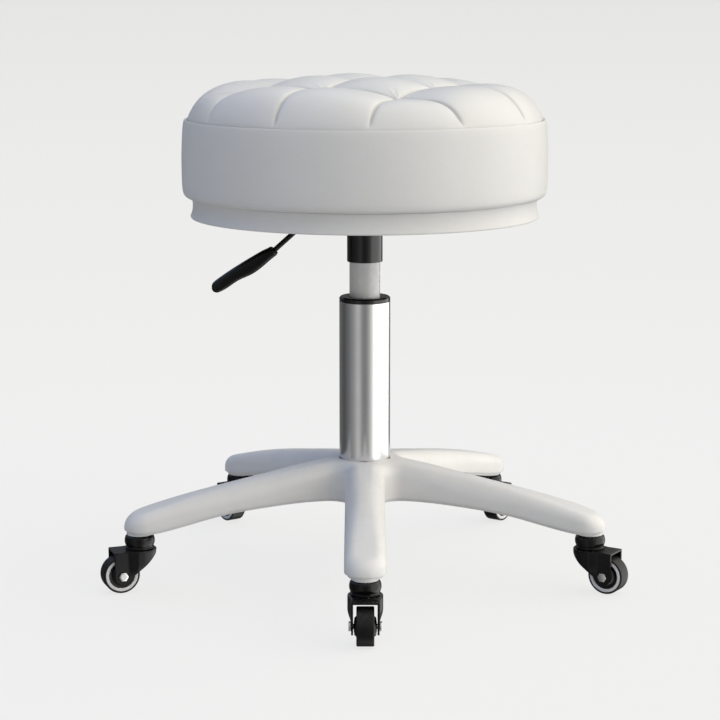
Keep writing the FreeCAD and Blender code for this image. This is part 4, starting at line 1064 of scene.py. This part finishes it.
def yoke(k):
    """Cheeks and top plate of caster k in its resting turn, with their edges broken."""
    swivel = next(Vector(j["pos_m"]) for j in frame["joints"] if j["name"] == f"caster_swivel_{k}")
    axle = next(Vector(j["pos_m"]) for j in frame["joints"] if j["name"] == f"wheel_spin_{k}")
    trail = axle - swivel
    points, faces = [], []
    reach = hypot(trail.x, trail.y)
    for shell in (cheek(1, reach, axle.z), cheek(-1, reach, axle.z), yoke_roof()):
        add_shell(points, faces, *shell)
    stand = Matrix.Translation((swivel.x, swivel.y, 0)) @ Matrix.Rotation(atan2(trail.y, trail.x), 4, "Z")
    mesh = mesh_of(f"yoke_{k}", [stand @ Vector(p) for p in points], faces, 34)
    place(f"yoke_{k}", bevelled(mesh, 0.35 * MM, 2, 50), f"caster_{k}", "black_steel", [f"caster_fork_{k}"])


# %% Wheel outlines and all five casters
core_half = [(2.55, 10.2, 0.2), (4.9, 10.2, 0.3), (5.2, 9.7, 0.3), (6.6, 9.9, 0.3), (7.9, 9.6, 0.9),
             (9.6, 7.6, 0.5),
             (9.9, 6.6, 0.3), (12.3, 6.9, 0.2), (12.75, 6.6, 0.2)]
ring_half = [(12.8, 7.5, 0.4), (13.4, 7.9, 0.5), (15.3, 7.9, 0.5), (15.95, 7.5, 0.3)]
tyre_half = [(16.0, 7.7, 0.2), (16.3, 8.0, 0.2), (17.1, 7.95, 0.5), (17.75, 7.2, 0.8), (17.75, 3.0, 0.0)]
for k in range(1, 6):
    on_axle(f"wheel_hub_{k}", mirrored(core_half), k, "black_plastic", f"wheel_core_{k}")
    on_axle(f"wheel_band_{k}", mirrored(ring_half), k, "ring_grey", f"wheel_ring_{k}")
    on_axle(f"wheel_tread_{k}", mirrored(tyre_half), k, "tyre", f"tyre_{k}")
    yoke(k)
    softened(f"axle_bolt_{k}", [f"caster_axle_{k}"], f"caster_{k}", "bright_steel", 0.0003, 2)
print("five casters")

# %% [markdown]
# ## Column and gas lift
# The outer tube is chromed steel with its edges just broken. A glossy black guide sits in its mouth, and
# the white pressure tube slides through the guide. Under the seat a short collar with a tapered bore grips
# the tube.

# %% Tubes
lathe("column", rounded([(COLUMN_R, COLUMN_LOW, 0.4 * MM), (COLUMN_R, COLUMN_TOP, 0.5 * MM),
                         (COLUMN_R - 1.5 * MM, COLUMN_TOP, 0.4 * MM),
                         (COLUMN_R - 1.5 * MM, COLUMN_LOW, 0.4 * MM)]),
      "base", "column_chrome", ["column_tube"], 160)
bore = CYLINDER_R + 0.08 * MM
body_r = COLUMN_R - 1.55 * MM
lathe("guide_collar", rounded([(bore, GUIDE_LOW, 0.5 * MM), (body_r, GUIDE_LOW, 0.5 * MM),
                               (body_r, COLUMN_TOP + 0.05 * MM, 0),
                               (COLUMN_R - 0.15 * MM, COLUMN_TOP + 0.05 * MM, 0.3 * MM),
                               (COLUMN_R, COLUMN_TOP + 0.5 * MM, 0.3 * MM),
                               (COLUMN_R, GUIDE_TOP - 1.5 * MM, 0.7 * MM),
                               (COLUMN_R - 1.4 * MM, GUIDE_TOP, 0.8 * MM),
                               (CYLINDER_R + 2.2 * MM, GUIDE_TOP, 0.4 * MM),
                               (CYLINDER_R + 1.4 * MM, GUIDE_TOP - 0.9 * MM, 0.3 * MM),
                               (bore, GUIDE_TOP - 0.9 * MM, 0.2 * MM)]),
      "base", "black_gloss", ["guide_sleeve"], 160)
lathe("pressure_tube", rounded([(CYLINDER_R, CYLINDER_LOW, 0.6 * MM), (CYLINDER_R, CYLINDER_TOP, 0.8 * MM),
                                (4.05 * MM, CYLINDER_TOP, 0.3 * MM), (4.05 * MM, CYLINDER_TOP - 20 * MM, 0),
                                (0.01 * MM, CYLINDER_TOP - 20 * MM, 0),
                                (0.01 * MM, CYLINDER_TOP - 24 * MM, 0),
                                (CYLINDER_R - 1.5 * MM, CYLINDER_TOP - 24 * MM, 0),
                                (CYLINDER_R - 1.5 * MM, CYLINDER_LOW, 0)]),
      "seat", "cylinder_white", ["gas_cylinder"], 160)
softened("taper_collar", ["taper_socket"], "seat", "black_gloss", 0.0006, 3)
print("column", round((COLUMN_TOP - COLUMN_LOW) * 1000), "mm long")

# %% [markdown]
# ## Plate, screws and lever
# A pressed plate carries the seat on four screws. The lever is a bent rod on a pin, and lifting its grip
# presses the button in the end of the gas lift. The rod is swept along its centre line by a second small
# tree, and the grip is a flattened moulding with a fuller underside where the fingers pull.

# %% Plate and screws
softened("mounting_plate", ["mechanism_plate"], "seat", "black_steel", 0.0004, 2)
softened("plate_screws", ["plate_bolts"], "seat", "bright_steel", 0.0003, 2)
softened("plate_screw_washers", ["plate_washers"], "seat", "bright_steel", 0.0002, 1)
softened("button", ["release_pin"], "release_button", "bright_steel", 0.0004, 2)


# %% Lever rod
def sweep_tree():
    """Sweeps a round section along a curve and closes its ends."""
    tree, start, end = group_of("sweep_round", GEOMETRY_TREE,
                                [("Geometry", "NodeSocketGeometry", None), ("Radius", FLOAT, 0.0025),
                                 ("Sides", "NodeSocketInt", 32), ("Finish", "NodeSocketMaterial", None)],
                                [("Geometry", "NodeSocketGeometry", None)])
    ring = add(tree, "GeometryNodeCurvePrimitiveCircle", (-300, -200), {"Resolution": start.outputs["Sides"],
                                                                        "Radius": start.outputs["Radius"]})
    swept = add(tree, "GeometryNodeCurveToMesh", (0, 0), {"Curve": start.outputs["Geometry"],
                                                          "Profile Curve": ring.outputs[0],
                                                          "Fill Caps": True})
    real = add(tree, "GeometryNodeRealizeInstances", (250, 0), {0: swept.outputs[0]})
    dressed = add(tree, "GeometryNodeSetMaterial", (500, 0), {"Geometry": real.outputs[0],
                                                              "Material": start.outputs["Finish"]})
    tree.links.new(dressed.outputs[0], end.inputs[0])
    return tree


def line_curve(name, route):
    """A curve of straight runs through the points of a route."""
    curve = bpy.data.curves.new(name, "CURVE")
    curve.dimensions = "3D"
    spline = curve.splines.new("POLY")
    spline.points.add(len(route) - 1)
    for point, place_at in zip(spline.points, route):
        point.co = (*place_at, 1.0)
    return curve


SWEEP = sweep_tree()
pivot = Vector(next(j for j in frame["joints"] if j["name"] == "lever_lift")["pos_m"])
LEVER_R = 2.5 * MM
SLOPE = radians(42)
BEND_R = 9.0 * MM
BEND_X = pivot.x - 31.0 * MM
ROD_FROM_X, SLOPING, GRIP_AFTER = -3.0 * MM, 52 * MM, 38 * MM
PIN_BORE_R, LEVER_HUB_R, LEVER_HUB_HALF = 2.05 * MM, 5 * MM, 5.9 * MM
reach = BEND_R * tan(SLOPE / 2)
route = [(ROD_FROM_X, 0, pivot.z), (BEND_X + reach, 0, pivot.z)]
route += [(BEND_X + reach - BEND_R * sin(a), 0, pivot.z - BEND_R * (1 - cos(a)))
          for a in np.linspace(0, SLOPE, 12)[1:]]
route.append((BEND_X - SLOPING * cos(SLOPE), 0, pivot.z - SLOPING * sin(SLOPE)))
grown("lever_bar", line_curve("lever_line", route), SWEEP,
      {"Radius": LEVER_R, "Sides": 36, "Finish": looks["black_steel"]}, "lever", "black_steel", ["lever_rod"])
boss_side = rounded([(PIN_BORE_R, -LEVER_HUB_HALF, 0.2 * MM), (LEVER_HUB_R, -LEVER_HUB_HALF, 0.5 * MM),
                     (LEVER_HUB_R, LEVER_HUB_HALF, 0.5 * MM), (PIN_BORE_R, LEVER_HUB_HALF, 0.2 * MM)])
boss_points, boss_faces = turned_shape(boss_side, 48)
stand = Matrix.Translation(pivot) @ Matrix.Rotation(radians(90), 4, "X")
place("lever_hub", mesh_of("lever_hub", [stand @ Vector(p) for p in boss_points], boss_faces),
      "lever", "black_steel")
print("lever rod", len(route), "points along its line")

# %% Lever grip
# Along the grip: distance, top and bottom of its side outline, and half its width, in millimetres.
GRIP = ((1.2, -1.0, -4.6, 3.4), (2.6, 2.6, -5.3, 5.2), (5.6, 4.5, -5.9, 6.3), (11.0, 5.0, -6.6, 6.8),
        (18.0, 5.3, -7.9, 7.0), (25.0, 5.4, -8.9, 7.0), (33.0, 5.4, -9.3, 7.0), (40.0, 5.3, -8.6, 7.0),
        (48.0, 5.1, -7.7, 7.0), (57.0, 4.6, -8.1, 6.9), (65.0, 4.0, -8.4, 6.7), (70.0, 3.3, -7.9, 6.2),
        (73.2, 1.4, -6.6, 5.0), (74.9, -1.4, -4.6, 2.6))
grip_slope = radians(31)
GRIP_SQUARE = 0.62
start_x = BEND_X - cos(SLOPE) * GRIP_AFTER
start_z = pivot.z - sin(SLOPE) * GRIP_AFTER
table = np.array(GRIP)
ROUND_STEPS, LONG_STEPS = 40, 70
spots = np.interp(np.linspace(0, 1, LONG_STEPS), np.linspace(0, 1, len(GRIP)), table[:, 0])
points, faces = [], []
for along in spots:
    high_side, low_side, half = (float(through([(row[0], row[c]) for row in GRIP], along)) for c in (1, 2, 3))
    middle, tall = (high_side + low_side) / 2, (high_side - low_side) / 2
    for s in range(ROUND_STEPS):
        a = 2 * pi * s / ROUND_STEPS
        across = half * np.sign(cos(a)) * abs(cos(a)) ** GRIP_SQUARE
        up = middle + tall * np.sign(sin(a)) * abs(sin(a)) ** GRIP_SQUARE
        points.append((start_x - MM * (along * cos(grip_slope) + up * sin(grip_slope)), MM * across,
                       start_z - MM * (along * sin(grip_slope) - up * cos(grip_slope))))
for i in range(LONG_STEPS - 1):
    for s in range(ROUND_STEPS):
        a, b = i * ROUND_STEPS, (i + 1) * ROUND_STEPS
        t = (s + 1) % ROUND_STEPS
        faces.append((a + s, a + t, b + t, b + s))
faces.append(tuple(reversed(range(ROUND_STEPS))))
faces.append(tuple((LONG_STEPS - 1) * ROUND_STEPS + s for s in range(ROUND_STEPS)))
place("grip", mesh_of("grip", points, faces, 50), "lever", "black_plastic", ["lever_grip"])
print("grip", round(GRIP[-1][0] - GRIP[0][0]), "mm long")

# %% [markdown]
# ## The tufted cushion
# The top is sewn from sixteen panels. Nine points are pulled down: one in the middle, four at the middles
# of a square's sides and four at its corners. Seams run between them, and pleats run from the outer eight
# to the rim, two from each corner and one from each side point. Between the seams the filling pushes the
# cover up. The panels are laid out as curved patches that share their edges, each puffed a little, and that
# gives the cushion its shape. A cloth simulation that holds the seams still follows, but with the values
# used here it moves the cover by less than a tenth of a millimetre, so nothing of it shows.

# %% Seam points of the cushion
TUFT_TURN = radians(16.0)
SIDE_POINT_R = 77.0 * MM
CORNER_R = 109.0 * MM
SEAM_R = RIM_R - 0.6 * MM
RIM_Z = PAD_LOW + 3.2 * MM
MIDDLE_Z, SIDE_Z, CORNER_Z = 0.4790, 0.4765, 0.4715
SQUARE_PUFF, SIDE_PUFF, WEDGE_PUFF = 4.0 * MM, 4.5 * MM, 3.0 * MM
FULLNESS = 0.45


def bearing(turn, radius, height):
    """A point at a turn from the camera's direction, positive to its right."""
    return np.array((radius * sin(turn), -radius * cos(turn), height))


middle = bearing(0, 0, MIDDLE_Z)
corners = [bearing(TUFT_TURN + radians(90 * i), CORNER_R, CORNER_Z) for i in range(4)]
sides = [bearing(TUFT_TURN + radians(90 * i + 45), SIDE_POINT_R, SIDE_Z) for i in range(4)]
rim_turn = [TUFT_TURN + radians(15 + 30 * i) for i in range(12)]
print("seam points: 1 middle,", len(sides), "sides,", len(corners), "corners,", len(rim_turn), "pleats")


# %% Seams as curves
def spaced(count):
    """Places from 0 to 1 that crowd towards both ends, so a panel is finest beside its seams."""
    t = np.linspace(0, 1, count)
    return 0.25 * t + 0.75 * (1 - np.cos(pi * t)) / 2


def seam(a, b, rise, count):
    """A seam between two points, which rises between them because the filling lifts it."""
    t = spaced(count)[:, None]
    line = a * (1 - t) + b * t
    line[:, 2] += rise * (4 * t[:, 0] * (1 - t[:, 0])) ** 0.8
    return line


def pleat(a, turn, count, rise):
    """A pleat from a seam point out over the shoulder and down to the rim."""
    end = bearing(turn, SEAM_R, RIM_Z)
    t = spaced(count)[:, None]
    line = a * (1 - t) + end * t
    out = t[:, 0] ** 0.8
    line[:, :2] = a[:2] * (1 - out[:, None]) + end[:2] * out[:, None]
    line[:, 2] = a[2] + (end[2] - a[2]) * t[:, 0] ** 5 + rise * 4 * t[:, 0] * (1 - t[:, 0])
    return line


def rim(turn_a, turn_b, count):
    """Part of the rim, between two turns."""
    return np.array([bearing(turn_a + (turn_b - turn_a) * t, SEAM_R, RIM_Z) for t in spaced(count)])


def patch(low_edge, high_edge, left_edge, right_edge, puff):
    """A Coons patch between four edges, puffed in its middle. Returns its rows of points."""
    rows_n, cols_n = len(left_edge), len(low_edge)
    u = spaced(cols_n)[None, :, None]
    v = spaced(rows_n)[:, None, None]
    surface = ((1 - v) * low_edge[None] + v * high_edge[None]
               + (1 - u) * left_edge[:, None] + u * right_edge[:, None]
               - (1 - u) * (1 - v) * low_edge[0] - u * (1 - v) * low_edge[-1]
               - (1 - u) * v * high_edge[0] - u * v * high_edge[-1])
    fullness = (4 * u * (1 - u)) ** FULLNESS * (4 * v * (1 - v)) ** FULLNESS
    du, dv = np.gradient(surface, axis=1), np.gradient(surface, axis=0)
    normal = np.cross(du, dv)
    normal /= np.maximum(np.linalg.norm(normal, axis=2, keepdims=True), 1e-9)
    normal = np.where(normal[..., 2:] < 0, -normal, normal)
    mid = normal[rows_n // 2, cols_n // 2]
    push = normal * 0.4 + mid * 0.6
    push /= np.linalg.norm(push, axis=2, keepdims=True)
    return surface + push * fullness * puff


SEAM_STEPS = 23
RIM_STEPS = 23
CORNER_RISE, SIDE_RISE = 0.8 * MM, 4.2 * MM
INNER_RISE, OUTER_RISE = 6.0 * MM, 5.0 * MM
panels = []
for i in range(4):
    corner, side, before = corners[i], sides[i], sides[i - 1]
    a = seam(middle, before, INNER_RISE, SEAM_STEPS)
    b = seam(middle, side, INNER_RISE, SEAM_STEPS)
    c = seam(before, corner, OUTER_RISE, SEAM_STEPS)
    d = seam(side, corner, OUTER_RISE, SEAM_STEPS)
    panels.append(patch(b, c, a, d, SQUARE_PUFF))
    left_turn, right_turn = rim_turn[3 * i - 1], rim_turn[3 * i]
    side_turn = rim_turn[3 * i + 1]
    right_pleat = pleat(corner, right_turn, SEAM_STEPS, CORNER_RISE)
    left_pleat = pleat(corner, left_turn, SEAM_STEPS, CORNER_RISE)
    if left_turn > right_turn:
        left_turn -= 2 * pi
    far_corner = corners[(i + 1) % 4]
    panels.append(patch(np.repeat(corner[None], RIM_STEPS, 0), rim(left_turn, right_turn, RIM_STEPS),
                        left_pleat, right_pleat, WEDGE_PUFF))
    side_pleat = pleat(side, side_turn, SEAM_STEPS, SIDE_RISE)
    panels.append(patch(d[::-1], rim(right_turn, side_turn, RIM_STEPS), right_pleat, side_pleat, SIDE_PUFF))
    after = seam(side, far_corner, OUTER_RISE, SEAM_STEPS)
    end_turn = side_turn + radians(30)
    panels.append(patch(after, rim(side_turn, end_turn, RIM_STEPS), side_pleat,
                        pleat(far_corner, end_turn, SEAM_STEPS, CORNER_RISE), SIDE_PUFF))
print(len(panels), "panels")

# %% Join the panels into a closed cushion
points, faces, held = [], [], []
for panel in panels:
    first = len(points)
    n, m = panel.shape[:2]
    points += [tuple(p) for p in panel.reshape(-1, 3)]
    for r in range(n):
        for c in range(m):
            held.append(r in (0, n - 1) or c in (0, m - 1))
    for r in range(n - 1):
        for c in range(m - 1):
            a = first + r * m + c
            faces.append((a, a + 1, a + m + 1, a + m))
under_r = [SEAM_R, SEAM_R - 1.0 * MM, SEAM_R - 5 * MM, 0.10, 0.05]
under_z = [PAD_LOW + 1.2 * MM, PAD_LOW + 0.5 * MM] + [PAD_LOW + 0.4 * MM] * 3
rim_count = 12 * (RIM_STEPS - 1)
rim_turns = [rim_turn[0] + radians(30) * (i + t) for i in range(12) for t in spaced(RIM_STEPS)[:-1]]
first = len(points)
for radius, height in [(SEAM_R, RIM_Z)] + list(zip(under_r, under_z)):
    points += [tuple(bearing(t, radius, height)) for t in rim_turns]
    held += [True] * rim_count
for ring in range(len(under_r)):
    for s in range(rim_count):
        a, b = first + ring * rim_count, first + (ring + 1) * rim_count
        t = (s + 1) % rim_count
        faces.append((a + s, a + t, b + t, b + s))
faces.append(tuple(first + len(under_r) * rim_count + s for s in range(rim_count)))
cushion_mesh = bpy.data.meshes.new("tufted_top")
cushion_mesh.from_pydata(points, [], faces)
cushion_bm = bmesh.new()
cushion_bm.from_mesh(cushion_mesh)
pin_layer = cushion_bm.verts.layers.float.new("held")
for vertex, value in zip(cushion_bm.verts, held):
    vertex[pin_layer] = float(value)
bmesh.ops.remove_doubles(cushion_bm, verts=cushion_bm.verts, dist=0.00012)
bmesh.ops.recalc_face_normals(cushion_bm, faces=cushion_bm.faces)
cushion_bm.to_mesh(cushion_mesh)
cushion_bm.free()
print("cushion form:", len(cushion_mesh.vertices), "points,",
      sum(1 for e in cushion_mesh.edges if e.is_loose), "loose edges")

# %% [markdown]
# ### Swelling
# Pressure 4 for twenty frames is a common start for a pad. Here it hardly moves the cover: the printed
# distance is nought to a tenth of a millimetre. The likely reason, not tried out, is that the grid is fine
# and each of its points carries a mass of 0.3, which is heavy for so little cloth.

# %% Let the filling swell
CAP = 5.0 * MM
FRAMES = 20
PRESSURE = 4.0


def swell(piece, cap, pressure):
    """Cloth simulation with the seams held still. No point may end further than cap from where it began."""
    group = piece.vertex_groups.new(name="held")
    layer = piece.data.attributes["held"].data
    for i, item in enumerate(layer):
        if item.value > 0.5:
            group.add([i], 1.0, "REPLACE")
    start = np.array([v.co for v in piece.data.vertices])
    cloth = piece.modifiers.new("cloth", "CLOTH")
    rules = cloth.settings
    rules.quality = 6
    rules.mass = 0.3
    rules.tension_stiffness = rules.compression_stiffness = 12.0
    rules.shear_stiffness = 6.0
    rules.bending_stiffness = 0.4
    rules.vertex_group_mass = "held"
    rules.use_pressure = True
    rules.uniform_pressure_force = pressure
    rules.effector_weights.gravity = 0.0
    cloth.collision_settings.use_collision = False
    for frame_number in range(1, FRAMES + 1):
        bpy.context.scene.frame_set(frame_number)
    moved = piece.evaluated_get(bpy.context.evaluated_depsgraph_get())
    end = np.array([v.co for v in moved.data.vertices])
    bpy.context.scene.frame_set(1)
    piece.modifiers.clear()
    step = end - start
    far_moved = np.linalg.norm(step, axis=1, keepdims=True)
    step *= np.tanh(far_moved / cap) * cap / np.maximum(far_moved, 1e-9)
    piece.data.vertices.foreach_set("co", (start + step).ravel())
    piece.data.update()
    return float(far_moved.max())


cushion = bpy.data.objects.new("tufted_top", cushion_mesh)
bpy.context.scene.collection.objects.link(cushion)
print("furthest the cover wanted to move:", round(swell(cushion, CAP, PRESSURE) * 1000, 1), "mm")


# %% [markdown]
# ### Creases and gathers
# Thread pulls each seam in, so the cover turns down sharply beside it. Where seams meet, the extra cloth has
# nowhere to go and folds into short gathers that fan out from the point.

# %% Finish the cushion's surface
def subdivided(piece, levels=1):
    """Gives a piece the mesh that a live subdivision would show."""
    modifier = piece.modifiers.new("subdivision", "SUBSURF")
    modifier.levels = modifier.render_levels = levels
    mesh = bpy.data.meshes.new_from_object(piece.evaluated_get(bpy.context.evaluated_depsgraph_get()))
    piece.modifiers.clear()
    piece.data = mesh


SEAM_REACH = 1.5 * MM
SEAM_DEPTH = 1.5 * MM
GATHER_REACH = 17.0 * MM
GATHER_DEPTH = 0.75 * MM
subdivided(cushion)
mesh = cushion.data
place_now = np.array([v.co for v in mesh.vertices])
normal_now = np.array([v.normal for v in mesh.vertices])
held_now = np.array([item.value for item in mesh.attributes["held"].data])
seams = place_now[held_now > 0.99]
tree_of_seams = kdtree.KDTree(len(seams))
for i, point in enumerate(seams):
    tree_of_seams.insert(point, i)
tree_of_seams.balance()
away = np.array([tree_of_seams.find(p)[2] for p in place_now])
near = np.exp(-(away / SEAM_REACH) ** 1.2)
upper = np.clip((place_now[:, 2] - RIM_Z - 1.5 * MM) / (6 * MM), 0, 1)
shift = -normal_now * (near * upper * SEAM_DEPTH)[:, None]
for point in [middle] + sides + corners:
    gap = place_now[:, :2] - point[:2]
    out = np.linalg.norm(gap, axis=1)
    turn = np.arctan2(gap[:, 1], gap[:, 0])
    wave = np.cos(turn * 11 + point[0] * 90) * 0.6 + np.cos(turn * 17 + point[1] * 140) * 0.4
    fade = np.clip(out / (4 * MM), 0, 1) * np.exp(-(out / GATHER_REACH) ** 2)
    shift += normal_now * (wave * fade * upper * GATHER_DEPTH)[:, None]
mesh.vertices.foreach_set("co", (place_now + shift).ravel())
# This mask paints shade beside the seams on the cover, and dulls its gloss there.
marks = mesh.attributes.new("seam", "FLOAT", "POINT")
marks.data.foreach_set("value", (near * upper).astype(np.float32))
mesh.update()
smooth(mesh, 75)
mesh.materials.clear()
mesh.materials.append(looks["cover_white"])
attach(cushion, "seat")
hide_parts("seat_top")
crown = max(v.co.z for v in mesh.vertices)
print("cushion crown at", round(crown * 1000, 1), "mm, rim at", round(SEAM_R * 1000, 1), "mm")

# %% [markdown]
# ## The seat's walls
# A wide band of the same cover wraps the foam. It bellies out a little, rolls in at the bottom over the edge
# of the board, and ends at the top in a narrow gap beside the cushion. Below it a thinner strip covers the
# edge of the board itself, drawn slightly hollow by the staples under it.

# %% Side band and base band
def curve_through(points, steps):
    """Smooth curve through outline points, by their order."""
    order = np.arange(len(points))
    at = np.linspace(0, len(points) - 1, steps)
    return [(float(through(list(zip(order, [p[0] for p in points])), a)),
             float(through(list(zip(order, [p[1] for p in points])), a))) for a in at]


def wrapped(name, outline, inner_r, wave, depth, slot, stands_for, segments=288):
    """A band swung round the seat, with slow waves outside inner_r where the cloth isn't drawn quite even."""
    points, faces = turned_shape(outline, segments)
    rng = np.random.default_rng(7)
    phase = rng.uniform(0, 2 * pi, len(wave))
    moved = []
    for x, y, z in points:
        a = atan2(y, x)
        swing = sum(cos(n * a + p + z * 30) for n, p in zip(wave, phase)) / len(wave)
        r = hypot(x, y)
        outer = min(max((r - inner_r) / (6 * MM), 0), 1)
        s = 1 + depth * swing * outer / r
        moved.append((x * s, y * s, z))
    return place(name, mesh_of(name, moved, faces, 50), "seat", slot, stands_for)


BAND_SIDE = ((6.0, 0.0), (2.6, 0.03), (0.7, 0.10), (0.1, 0.25), (0.0, 0.456), (0.4, 0.671), (1.4, 0.89),
             (2.6, 0.985))
height = BAND_TOP - BAND_LOW
inner_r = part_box("seat_foam")[1][0] + 0.3 * MM
side = [(BAND_R - inset * MM, BAND_LOW + 0.3 * MM + share * height) for inset, share in BAND_SIDE]
outline = curve_through(side, 46)
gap_r = SEAM_R + 0.7 * MM
outline += [(BAND_R - 3.2 * MM, BAND_TOP + 0.1 * MM), (gap_r + 0.5 * MM, BAND_TOP),
            (gap_r, BAND_TOP - 0.5 * MM), (gap_r, PAD_LOW - 0.4 * MM), (inner_r, PAD_LOW - 0.4 * MM),
            (inner_r, BAND_LOW + 0.3 * MM)]
band = wrapped("side_band", outline, inner_r, (3, 5, 8, 13), 0.25 * MM, "cover_white", ["seat_side_band"])
inner_r = BOARD_R + 0.3 * MM
BASE_SIDE = ((2.6, 1.0), (1.9, 0.80), (1.7, 0.6), (2.1, 0.38), (3.3, 0.16), (3.9, 0.075), (3.6, 0.02),
             (3.0, 0.0))
height = BASE_BAND_TOP - BASE_BAND_LOW
side = [(BOARD_R + t * MM, BASE_BAND_LOW + share * (height - 0.3 * MM)) for t, share in reversed(BASE_SIDE)]
band_line = curve_through(side, 30)
outline = band_line + [(inner_r, side[-1][1]), (inner_r, BASE_BAND_LOW)]
base_band = wrapped("base_band", outline, inner_r, (7, 11, 19, 31), 0.18 * MM, "cover_white",
                    ["seat_base_band"])
cut_width = sum(hypot(b[0] - a[0], b[1] - a[1]) for a, b in zip(band_line, band_line[1:]))
print("base band cut", round(cut_width * 1000, 1), "mm wide")
print("side band", round((BAND_TOP - BAND_LOW) * 1000, 1), "mm high")

# %% [markdown]
# ## Under the seat
# A black non-woven cloth closes the underside round the plate. Staples hold its rim to the board.

# %% Dust cloth and staples
cloth_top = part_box("dust_cover")[1][2]
CLOTH_OUT, CLOTH_IN, CLOTH_T, FLAT_RIM = 163.5 * MM, 94.5 * MM, 0.7 * MM, 12 * MM
rings = np.linspace(CLOTH_IN, CLOTH_OUT, 24)
turns = 192
points, faces = [], []
for face_z in (0, 1):
    for r in rings:
        for s in range(turns):
            a = 2 * pi * s / turns
            edge = min((CLOTH_OUT - r) / FLAT_RIM, 1) * min((r - CLOTH_IN) / FLAT_RIM, 1)
            ripple = 0.35 * MM * edge * (1 + sin(9 * a + r * 160) * 0.5 + sin(23 * a - r * 90) * 0.3)
            z = cloth_top - 0.05 * MM - ripple - (0 if face_z else CLOTH_T)
            points.append((r * cos(a), r * sin(a), z))
layer = len(rings) * turns
for i in range(len(rings) - 1):
    for s in range(turns):
        a, b, t = i * turns + s, (i + 1) * turns + s, (s + 1) % turns - s
        faces.append((a, b, b + t, a + t))
        faces.append((layer + a, layer + a + t, layer + b + t, layer + b))
for i in (0, len(rings) - 1):
    for s in range(turns):
        a, t = i * turns + s, (s + 1) % turns - s
        faces.append((a, a + t, layer + a + t, layer + a))
dust = place("dust_cloth", mesh_of("dust_cloth", points, faces, 60), "seat", "dust_cloth", ["dust_cover"])
STAPLE_R, STAPLE_COUNT = 157.0 * MM, 44
wire = 0.9 * MM
staple = rounded([(0, 0, 0), (wire, 0, 0.2 * MM), (wire, wire, 0.3 * MM), (0, wire, 0.3 * MM)])
points, faces = [], []
floor_z = cloth_top - CLOTH_T - 0.1 * MM
for end_y in (-5.0 * MM, -4.4 * MM, 4.4 * MM, 5.0 * MM):
    rise = 0.5 * MM if abs(end_y) > 4.6 * MM else 0.0
    points += [(STAPLE_R + x, end_y, floor_z - y + rise) for x, y in staple]
n = len(staple)
for i in range(3):
    faces += [(i * n + j, i * n + (j + 1) % n, (i + 1) * n + (j + 1) % n, (i + 1) * n + j) for j in range(n)]
faces += [tuple(reversed(range(n))), tuple(3 * n + j for j in range(n))]
grown("staples", mesh_of("staple", points, faces), RING,
      {"Copies": STAPLE_COUNT, "First turn": 0.05, "Weld": 0.000002, "Finish": looks["bright_steel"]},
      "seat", "bright_steel")
print("dust cloth and", STAPLE_COUNT, "staples")

# %% Measure and finish
now_low, now_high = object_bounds()
print("cad box   ", [[round(v, 4) for v in corner] for corner in cad_box])
print("visual box", [[round(v, 4) for v in corner] for corner in (now_low, now_high)])
